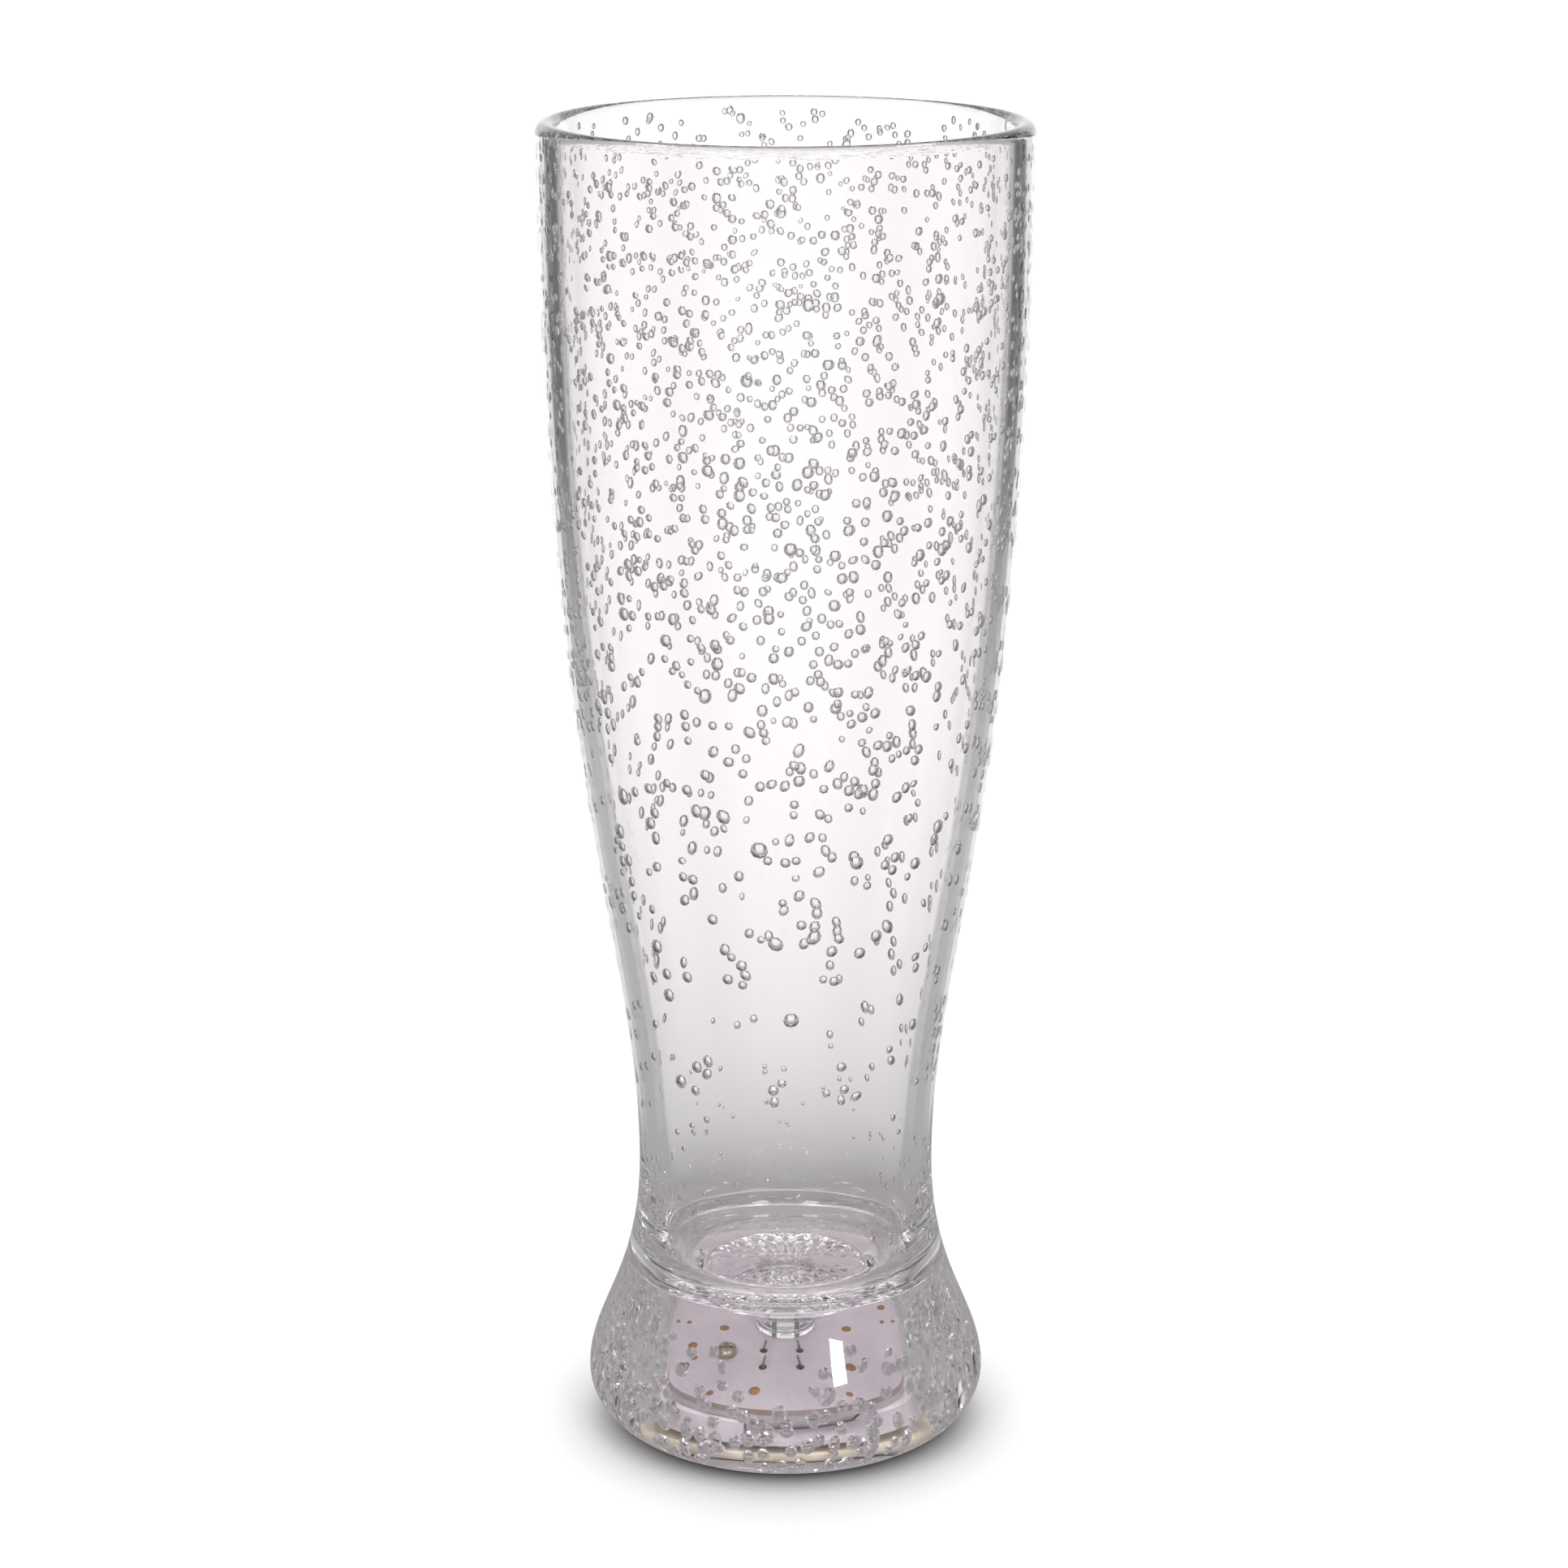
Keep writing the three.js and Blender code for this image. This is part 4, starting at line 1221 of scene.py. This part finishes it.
@dataclass
class LampModule:
    """Round board with its lamp, the seal round the cover and the button below.

    Sizes are in millimetres.
    """

    outline: Outline
    board_bottom: float = 8.6
    board_top: float = 10.2
    board_gap: float = 0.9
    board_segments: int = 160
    led_seat: float = 10.4
    led_height: float = 7.8
    led_radius: float = 5.0
    led_flange: float = 5.6
    led_flange_height: float = 1.2
    led_dome: float = 3.6
    led_dome_steps: int = 16
    led_round: float = 0.2
    led_segments: int = 64
    lead_pitch: float = 2.54
    lead_hole: float = 0.65
    seal_inner: float = 22.37
    seal_bottom: float = 4.25
    seal_height: float = 0.8
    seal_gap: float = 0.2
    seal_round: float = 0.3
    seal_segments: int = 160
    liner_foot: float = 20.0
    liner_head: float = 21.1
    liner_bottom: float = 6.0
    liner_top: float = 8.2
    liner_wall: float = 0.5
    liner_round: float = 0.15
    liner_segments: int = 96
    button_face: float = 0.5
    button_radius: float = 4.5
    button_round: float = 0.3
    button_segments: int = 72
    dish_radius: float = 3.7
    dish_depth: float = 0.4
    dish_points: int = 12
    flange_radius: float = 5.6
    flange_bottom: float = 2.2
    flange_top: float = 2.9
    nose_radius: float = 2.05
    nose_top: float = 3.6
    switch: Point = (-0.7, -11.1)
    leg_pitch: Point = (6.5, 4.5)
    leg_hole: float = 0.72
    hole_segments: int = 20
    hole_fit: float = 0.97
    fill_inside: int = 1
    fill_tolerance: float = 1e-6
    core_depth: float = 0.4
    core_sink: float = 1.5
    screw_hole: float = 1.2
    board_screws: tuple[Point, ...] = ((-10.6, -9.4), (10.6, 13.5))
    # Spare holes: distance in from the board's edge, bearing in degrees and radius
    edge_holes: tuple[tuple[float, float, float], ...] = (
        (11.7, 188, 0.95), (11.7, 350, 0.95), (3.9, 255, 0.95), (6.3, 311, 0.95), (2.2, 214, 0.95),
        (4.8, 202, 0.95), (3.4, 15, 0.95), (4.3, 212, 0.55), (3.8, 237, 0.55), (1.5, 237, 0.55),
        (4.2, 285, 0.55), (1.8, 285, 0.55), (1.9, 298, 0.55), (4.4, 0, 0.55), (1.7, 0, 0.55),
        (4.4, 180, 0.55), (1.7, 180, 0.55),
    )

    def led(self) -> bpy.types.Object:
        """Lamp body: flange, straight side and low dome, carried round the axis.

        Returns:
            The lamp body's object.
        """
        seat, flange = self.led_seat, self.led_seat + self.led_flange_height
        shoulder = self.led_seat + self.led_height - self.led_dome
        side = np.array(
            [
                [0.0, seat],
                [self.led_flange, seat],
                [self.led_flange, flange],
                [self.led_radius, flange],
                [self.led_radius, shoulder],
            ]
        )
        dome = arc((0, shoulder), (self.led_radius, self.led_dome), 0, 90, self.led_dome_steps)[1:]
        profile = np.concatenate([soften(side, self.led_round), dome])
        points, faces = revolve(profile, self.led_segments)
        return add_piece("lamp_body", points, faces, EPOXY, stands_for=("led_body",))

    def seal(self) -> bpy.types.Object:
        """Seal ring: a rounded square section carried round the axis.

        Returns:
            The ring's object.
        """
        bottom, top = self.seal_bottom, self.seal_bottom + self.seal_height
        outer = float(self.outline.chamber(top)) - self.seal_gap
        section = np.array([[self.seal_inner, bottom], [outer, bottom], [outer, top], [self.seal_inner, top]])
        section = soften(section, self.seal_round, ring=True)
        points, faces = revolve(section, self.seal_segments, ring=True)
        return add_piece(
            "seal_ring", points, faces, SILICONE, stands_for=("cover_seal",)
        )

    @property
    def board_radius(self) -> float:
        """Radius of the board, which clears the chamber's wall."""
        return float(self.outline.chamber(self.board_top)) - self.board_gap

    @property
    def holes(self) -> Array:
        """Drilled holes: switch legs, lamp leads, screws and the spare ones set in from the board's edge.

        Returns:
            Rows of x, y and radius.
        """
        (x0, y0), (pitch_x, pitch_y) = self.switch, self.leg_pitch
        legs = [
            (x0 + x * pitch_x / 2, y0 + y * pitch_y / 2, self.leg_hole) for x in (-1, 1) for y in (-1, 1)
        ]
        leads = [(x * self.lead_pitch / 2, 0.0, self.lead_hole) for x in (-1, 1)]
        screws = [(x, y, self.screw_hole) for x, y in self.board_screws]
        round_the_edge = np.array(self.edge_holes)
        reach, bearing = self.board_radius - round_the_edge[:, 0], np.radians(round_the_edge[:, 1])
        edge = np.stack([reach * np.cos(bearing), reach * np.sin(bearing), round_the_edge[:, 2]], -1)
        return np.concatenate([legs, leads, screws, edge])

    def board(self) -> bpy.types.Object:
        """Board: a disc with its drilled holes, triangulated between the circles and given a thickness.

        Returns:
            The board's object.
        """
        circles = np.concatenate([[[0.0, 0.0, self.board_radius]], self.holes])
        counts = [self.board_segments] + [self.hole_segments] * (len(circles) - 1)
        rings = [
            np.stack([x + r * np.cos(turn), y + r * np.sin(turn)], -1)
            for (x, y, r), turn in zip(circles, (np.arange(n) * TAU / n for n in counts))
        ]
        starts = np.cumsum([0] + counts[:-1])
        loops = [np.stack([s + np.arange(n), s + (np.arange(n) + 1) % n], -1) for s, n in zip(starts, counts)]
        flat, edges = np.concatenate(rings), np.concatenate(loops)
        corners = [Vector(point) for point in flat.tolist()]
        filled = delaunay_2d_cdt(corners, edges.tolist(), [], self.fill_inside, self.fill_tolerance)
        cells = np.array(filled[2])
        middle = flat[cells].mean(1)
        away = np.linalg.norm(middle[:, None] - circles[None, 1:, :2], axis=-1)
        solid = away > circles[None, 1:, 2] * self.hole_fit
        cells, n = cells[solid.all(1)], len(flat)
        points = np.concatenate([np.c_[flat, np.full(n, z)] for z in (self.board_bottom, self.board_top)])
        a, b = edges.T
        side = [np.stack([a, b, b + n], -1), np.stack([a, b + n, a + n], -1)]
        wall = np.concatenate([np.where(a[:, None] < counts[0], s, s[:, ::-1]) for s in side])
        faces = np.concatenate([cells[:, ::-1], cells + n, wall])
        return add_piece(
            "drilled_board", points, faces, BOARD, stands_for=("circuit_board",)
        )

    def hole_cores(self) -> bpy.types.Object:
        """Bare laminate in the spare holes: a short plug in each, below the board's face.

        Returns:
            The object of all the plugs.
        """
        spare, fit = self.holes[-len(self.edge_holes) :], self.hole_fit
        section = np.array([[0.0, 0.0], [fit, 0.0], [fit, 1.0], [0.0, 1.0]])
        plug, faces = revolve(section, self.hole_segments)
        scale = np.stack([spare[:, 2], spare[:, 2], np.full(len(spare), self.core_depth)], -1)
        foot = self.board_top - self.core_sink * self.core_depth
        place = np.c_[spare[:, :2], np.full(len(spare), foot)]
        points = (plug[None] * scale[:, None] + place[:, None]).reshape(-1, 3)
        faces = (faces[None] + np.arange(len(spare))[:, None, None] * len(plug)).reshape(-1, 3)
        return add_piece("hole_cores", points, faces, PAPER_CORE)

    def liner(self) -> bpy.types.Object:
        """Thin cone inside the cover's skirt, seen through its notch.

        Returns:
            The cone's object.
        """
        foot, head, wall = self.liner_foot, self.liner_head, self.liner_wall
        bottom, top = self.liner_bottom, self.liner_top
        section = np.array([[foot, bottom], [foot + wall, bottom], [head + wall, top], [head, top]])
        section = soften(section, self.liner_round, ring=True)
        points, faces = revolve(section, self.liner_segments, ring=True)
        return add_piece("skirt_liner", points, faces, WHITE_ABS)

    def button(self) -> bpy.types.Object:
        """Power button: dished face below, keeping flange and nose, carried round its own axis.

        The dish rises by its depth times 1 - s^2, with s the share of its radius.

        Returns:
            The button's object.
        """
        share = np.linspace(0, 1, self.dish_points)
        rise = self.button_face + self.dish_depth * (1 - share**2)
        dish = np.stack([np.linspace(0, self.dish_radius, self.dish_points), rise], -1)
        side = np.array(
            [
                dish[-1],
                [self.button_radius, self.button_face],
                [self.button_radius, self.flange_bottom],
                [self.flange_radius, self.flange_bottom],
                [self.flange_radius, self.flange_top],
                [self.nose_radius, self.flange_top],
                [self.nose_radius, self.nose_top],
                [0.0, self.nose_top],
            ]
        )
        profile = np.concatenate([dish[:-1], soften(side, self.button_round)])
        points, faces = revolve(profile, self.button_segments)
        return add_piece(
            "pressed_button",
            points + np.array([*self.switch, 0.0]),
            faces,
            GREY_ABS,
            Body.BUTTON,
            stands_for=("power_button",),
        )

    def build(self) -> None:
        """Make the module's own pieces."""
        self.led()
        self.seal()
        self.board()
        self.hole_cores()
        self.liner()
        self.button()


@dataclass
class Studio:
    """Pale sweep, soft lamps and a camera at the photograph's place.

    Places and sizes are in metres, and the camera's lens and sensor in millimetres.
    """

    camera_place: tuple[float, float, float] = (0.0, -0.6544, 0.2903)
    camera_pitch: float = 74.738
    lens: float = 94.04
    sensor: float = 36.0
    shift_x: float = -0.001
    floor_size: float = 14.0
    floor_share: float = 0.3
    floor_lift: float = 0.85
    # Brightness at each bearing in degrees from straight behind the glass
    surround_levels: tuple[Point, ...] = (
        (0, 1.12),
        (23, 1.12),
        (30, 0.08),
        (40, 0.08),
        (48, 0.48),
        (64, 0.3),
        (78, 0.72),
        (102, 0.72),
        (118, 0.4),
        (140, 0.6),
        (158, 0.95),
        (180, 0.95),
    )
    # Level of the painted shadow on the floor at the glass, as seen through the glass
    painted_shadow_level: float = 0.36
    ceiling: float = 0.12
    ceiling_band: Point = (0.18, 0.5)
    zenith: float = 1.1
    zenith_band: Point = (0.55, 0.8)
    near_level: float = 0.5
    near_band: Point = (0.35, 1.0)
    ambient: float = 0.53
    # Where that painted shadow starts to lift, and how fast it fades with distance from the glass
    painted_shadow_start: float = 0.032
    painted_shadow_fade: float = 0.11
    shadow_reach: float = 0.085
    shadow_depth: float = 1.14
    shadow_rays: int = 12
    clear_bounces: int = 40
    glossy_bounces: int = 12
    lamp_aim: float = 0.1
    # Name, place, width and depth, and watts of each lamp
    soft_boxes: tuple[tuple[str, tuple[float, float, float], Point, float], ...] = (
        ("low", (0.72, -1.1, 0.475), (0.2, 0.09), 1.4),
        ("left", (-0.45, -0.75, 1.0), (0.3, 0.3), 5.5),
        ("right", (0.45, -0.75, 1.0), (0.3, 0.3), 5.5),
        ("left_rear", (-0.4, 0.45, 1.1), (0.14, 0.14), 1.2),
        ("right_rear", (0.4, 0.45, 1.1), (0.14, 0.14), 1.2),
        ("behind", (0.0, 0.75, 1.0), (0.7, 0.7), 10.0),
    )

    def camera(self) -> None:
        """Stand the camera in front of the glass, looking a little down."""
        data = bpy.data.cameras.new("camera")
        data.lens, data.sensor_width, data.shift_x = self.lens, self.sensor, self.shift_x
        camera = bpy.data.objects.new("camera", data)
        camera.location = self.camera_place
        camera.rotation_euler = (math.radians(self.camera_pitch), 0, 0)
        bpy.context.scene.collection.objects.link(camera)
        bpy.context.scene.camera = camera

    def lamps(self) -> None:
        """Hang soft boxes above the glass and stand a low one in front of it on the right.

        Each faces a point low on the glass's axis. The one behind only throws the shadow forward and
        is not mirrored in the glass.
        """
        for name, (x, y, z), (width, depth), watts in self.soft_boxes:
            data = bpy.data.lights.new(f"soft_box_{name}", "AREA")
            data.shape, data.size, data.size_y, data.energy = "RECTANGLE", width, depth, watts
            lamp = bpy.data.objects.new(data.name, data)
            lamp.location = (x, y, z)
            lamp.visible_glossy = lamp.visible_transmission = name != "behind"
            tilt = math.atan2(math.hypot(x, y), z - self.lamp_aim)
            lamp.rotation_euler = (tilt, 0, math.atan2(y, x) + math.pi / 2)
            bpy.context.scene.collection.objects.link(lamp)

    def surround(self, tree: bpy.types.NodeTree, direction: bpy.types.NodeSocket) -> bpy.types.NodeSocket:
        """Brightness of the studio round the table, by bearing from the sweep behind the glass.

        The sweep is white, a dark gap on each side of it draws the glass's edges, and paler screens
        stand at the sides and the front with soft dips between them.

        Args:
            tree: Node tree of the world or the floor.
            direction: Vector whose bearing is read.

        Returns:
            Socket that holds the brightness.
        """
        parts = add_node(tree, "ShaderNodeSeparateXYZ", {}, {"Vector": direction}).outputs
        aside = add_node(tree, "ShaderNodeMath", {"operation": "ABSOLUTE"}, {0: parts["X"]}).outputs[0]
        bearing = add_node(tree, "ShaderNodeMath", {"operation": "ARCTAN2"}, {0: aside, 1: parts["Y"]})
        share = add_node(
            tree, "ShaderNodeMath", {"operation": "MULTIPLY", 1: 1 / math.pi}, {0: bearing.outputs[0]}
        )
        ramp = add_node(tree, "ShaderNodeValToRGB", {}, {"Fac": share.outputs[0]})
        ramp.color_ramp.interpolation = "EASE"
        while len(ramp.color_ramp.elements) < len(self.surround_levels):
            ramp.color_ramp.elements.new(0.5)
        for stop, (degrees, level) in zip(ramp.color_ramp.elements, self.surround_levels):
            stop.position, stop.color = degrees / 180, (level, level, level, 1)
        return ramp.outputs["Color"]

    def world(self) -> None:
        """Even soft light all round; glass and metal see the white sweep with dark gaps beside it.

        Over the surround come a dark ceiling and a pale zenith, each blended in over a band of the
        sine of the elevation. The camera itself sees plain white.
        """
        world = bpy.data.worlds.new("studio")
        world.use_nodes = True
        tree = world.node_tree
        tree.nodes.clear()
        path = add_node(tree, "ShaderNodeLightPath").outputs
        direction = add_node(tree, "ShaderNodeTexCoord").outputs["Generated"]
        height = add_node(tree, "ShaderNodeSeparateXYZ", {}, {"Vector": direction}).outputs["Z"]
        above = self.surround(tree, direction)
        for (low, high), overhead in ((self.ceiling_band, self.ceiling), (self.zenith_band, self.zenith)):
            above = add_node(
                tree,
                "ShaderNodeMapRange",
                {"From Min": low, "From Max": high, "To Max": overhead},
                {"Value": height, "To Min": above},
            ).outputs["Result"]
        scattered = add_node(
            tree, "ShaderNodeMath", {"operation": "MINIMUM", 1: 1.0}, {0: path["Diffuse Depth"]}
        )
        not_seen = add_node(
            tree, "ShaderNodeMath", {"operation": "MULTIPLY", 1: self.ambient}, {0: scattered.outputs[0]}
        )
        level = add_node(
            tree, "ShaderNodeMath", {"operation": "MAXIMUM"}, {0: above, 1: not_seen.outputs[0]}
        )
        level = add_node(
            tree, "ShaderNodeMath", {"operation": "MAXIMUM"}, {0: level.outputs[0], 1: path["Is Camera Ray"]}
        )
        light = add_node(tree, "ShaderNodeBackground", {"Color": WHITE}, {"Strength": level.outputs[0]})
        add_node(tree, "ShaderNodeOutputWorld", {}, {"Surface": light.outputs[0]})
        bpy.context.scene.world = world

    def floor(self) -> None:
        """Lay a wide white floor that keeps the shadow: the lamps' shadows on its paper, and a contact
        shadow painted from ambient occlusion into its colour and glow.

        Seen through the glass it carries a painted shadow: it brightens with distance d from it as
        1 - exp(-(d - start) / fade), from the painted shadow's level up to that of the surround, which
        is no darker near the glass than the near level. From below it is open, so that the underside
        shows and is lit.
        """
        half = self.floor_size / 2
        corners = [(-half, -half, 0), (half, -half, 0), (half, half, 0), (-half, half, 0)]
        mesh = bpy.data.meshes.new("floor")
        mesh.from_pydata(corners, [], [(0, 1, 2, 3)])
        material, tree = new_material("white_paper_sweep")
        path = add_node(tree, "ShaderNodeLightPath").outputs
        place = add_node(tree, "ShaderNodeTexCoord").outputs["Object"]
        away = add_node(tree, "ShaderNodeVectorMath", {"operation": "LENGTH"}, {0: place}).outputs["Value"]
        # Painted shadow seen through the glass: the floor's glow is held down near the glass and rises with
        # distance
        painted_shadow_end = self.painted_shadow_start + self.painted_shadow_fade
        rise = add_node(
            tree,
            "ShaderNodeMapRange",
            {"clamp": False, "From Min": self.painted_shadow_start, "From Max": painted_shadow_end, "To Max": -1.0},
            {"Value": away},
        )
        fall = add_node(tree, "ShaderNodeMath", {"operation": "EXPONENT"}, {0: rise.outputs["Result"]})
        near_end, far_start = self.near_band
        near = add_node(
            tree,
            "ShaderNodeMapRange",
            {"From Min": near_end, "From Max": far_start, "To Min": self.near_level, "To Max": 0.0},
            {"Value": away},
        )
        sweep_level = add_node(
            tree,
            "ShaderNodeMath",
            {"operation": "MAXIMUM"},
            {0: self.surround(tree, place), 1: near.outputs["Result"]},
        )
        level = add_node(
            tree,
            "ShaderNodeMapRange",
            {"To Max": self.painted_shadow_level, "From Max": 1 - self.painted_shadow_level},
            {"Value": fall.outputs[0], "To Min": sweep_level.outputs[0]},
        )
        seen = add_node(
            tree,
            "ShaderNodeMath",
            {"operation": "MAXIMUM"},
            {0: path["Is Transmission Ray"], 1: path["Is Glossy Ray"]},
        )
        sweep = add_node(
            tree, "ShaderNodeEmission", {"Color": WHITE}, {"Strength": level.outputs["Result"]}
        )
        # Painted contact shadow: ambient occlusion darkens the paper's colour and its glow
        contact = add_node(
            tree,
            "ShaderNodeAmbientOcclusion",
            {"samples": self.shadow_rays, "Distance": self.shadow_reach, "Color": WHITE},
        )
        shadow = add_node(
            tree, "ShaderNodeMath", {"operation": "POWER", 1: self.shadow_depth}, {0: contact.outputs["AO"]}
        )
        tone = add_node(
            tree, "ShaderNodeMath", {"operation": "MULTIPLY", 1: self.floor_share}, {0: shadow.outputs[0]}
        )
        paper = add_node(tree, "ShaderNodeBsdfDiffuse", {}, {"Color": tone.outputs[0]})
        lift = add_node(
            tree, "ShaderNodeMath", {"operation": "MULTIPLY", 1: self.floor_lift}, {0: shadow.outputs[0]}
        )
        lift = add_node(
            tree, "ShaderNodeMath", {"operation": "MULTIPLY"}, {0: lift.outputs[0], 1: path["Is Camera Ray"]}
        )
        glow = add_node(tree, "ShaderNodeEmission", {"Color": WHITE}, {"Strength": lift.outputs[0]})
        lit = add_node(tree, "ShaderNodeAddShader", {}, {0: paper.outputs[0], 1: glow.outputs[0]})
        both = add_node(
            tree, "ShaderNodeMixShader", {}, {0: seen.outputs[0], 1: lit.outputs[0], 2: sweep.outputs[0]}
        )
        below = add_node(tree, "ShaderNodeNewGeometry").outputs["Backfacing"]
        open_to = add_node(
            tree, "ShaderNodeMath", {"operation": "MAXIMUM"}, {0: below, 1: path["Is Diffuse Ray"]}
        )
        gap = add_node(tree, "ShaderNodeBsdfTransparent", {"Color": WHITE})
        one_way = add_node(
            tree, "ShaderNodeMixShader", {}, {0: open_to.outputs[0], 1: both.outputs[0], 2: gap.outputs[0]}
        )
        add_node(tree, "ShaderNodeOutputMaterial", {}, {"Surface": one_way.outputs[0]})
        mesh.materials.append(material)
        floor = bpy.data.objects.new("floor", mesh)
        bpy.context.scene.collection.objects.link(floor)

    def build(self) -> None:
        """Set up camera, lamps, world and floor."""
        scene = bpy.context.scene
        scene.view_settings.view_transform = "Standard"
        scene.cycles.max_bounces = scene.cycles.transmission_bounces = self.clear_bounces
        scene.cycles.glossy_bounces = self.glossy_bounces
        self.camera()
        self.lamps()
        self.world()
        self.floor()


def main() -> None:
    """Build the glass piece by piece, then the studio."""
    logging.basicConfig(level=logging.INFO, format="%(name)s: %(message)s")
    outline = Outline()
    Cup(outline).build()
    BaseShell(outline).build()
    LampModule(outline).build()
    PlainParts().build()
    Studio().build()


if __name__ == "__main__":
    main()
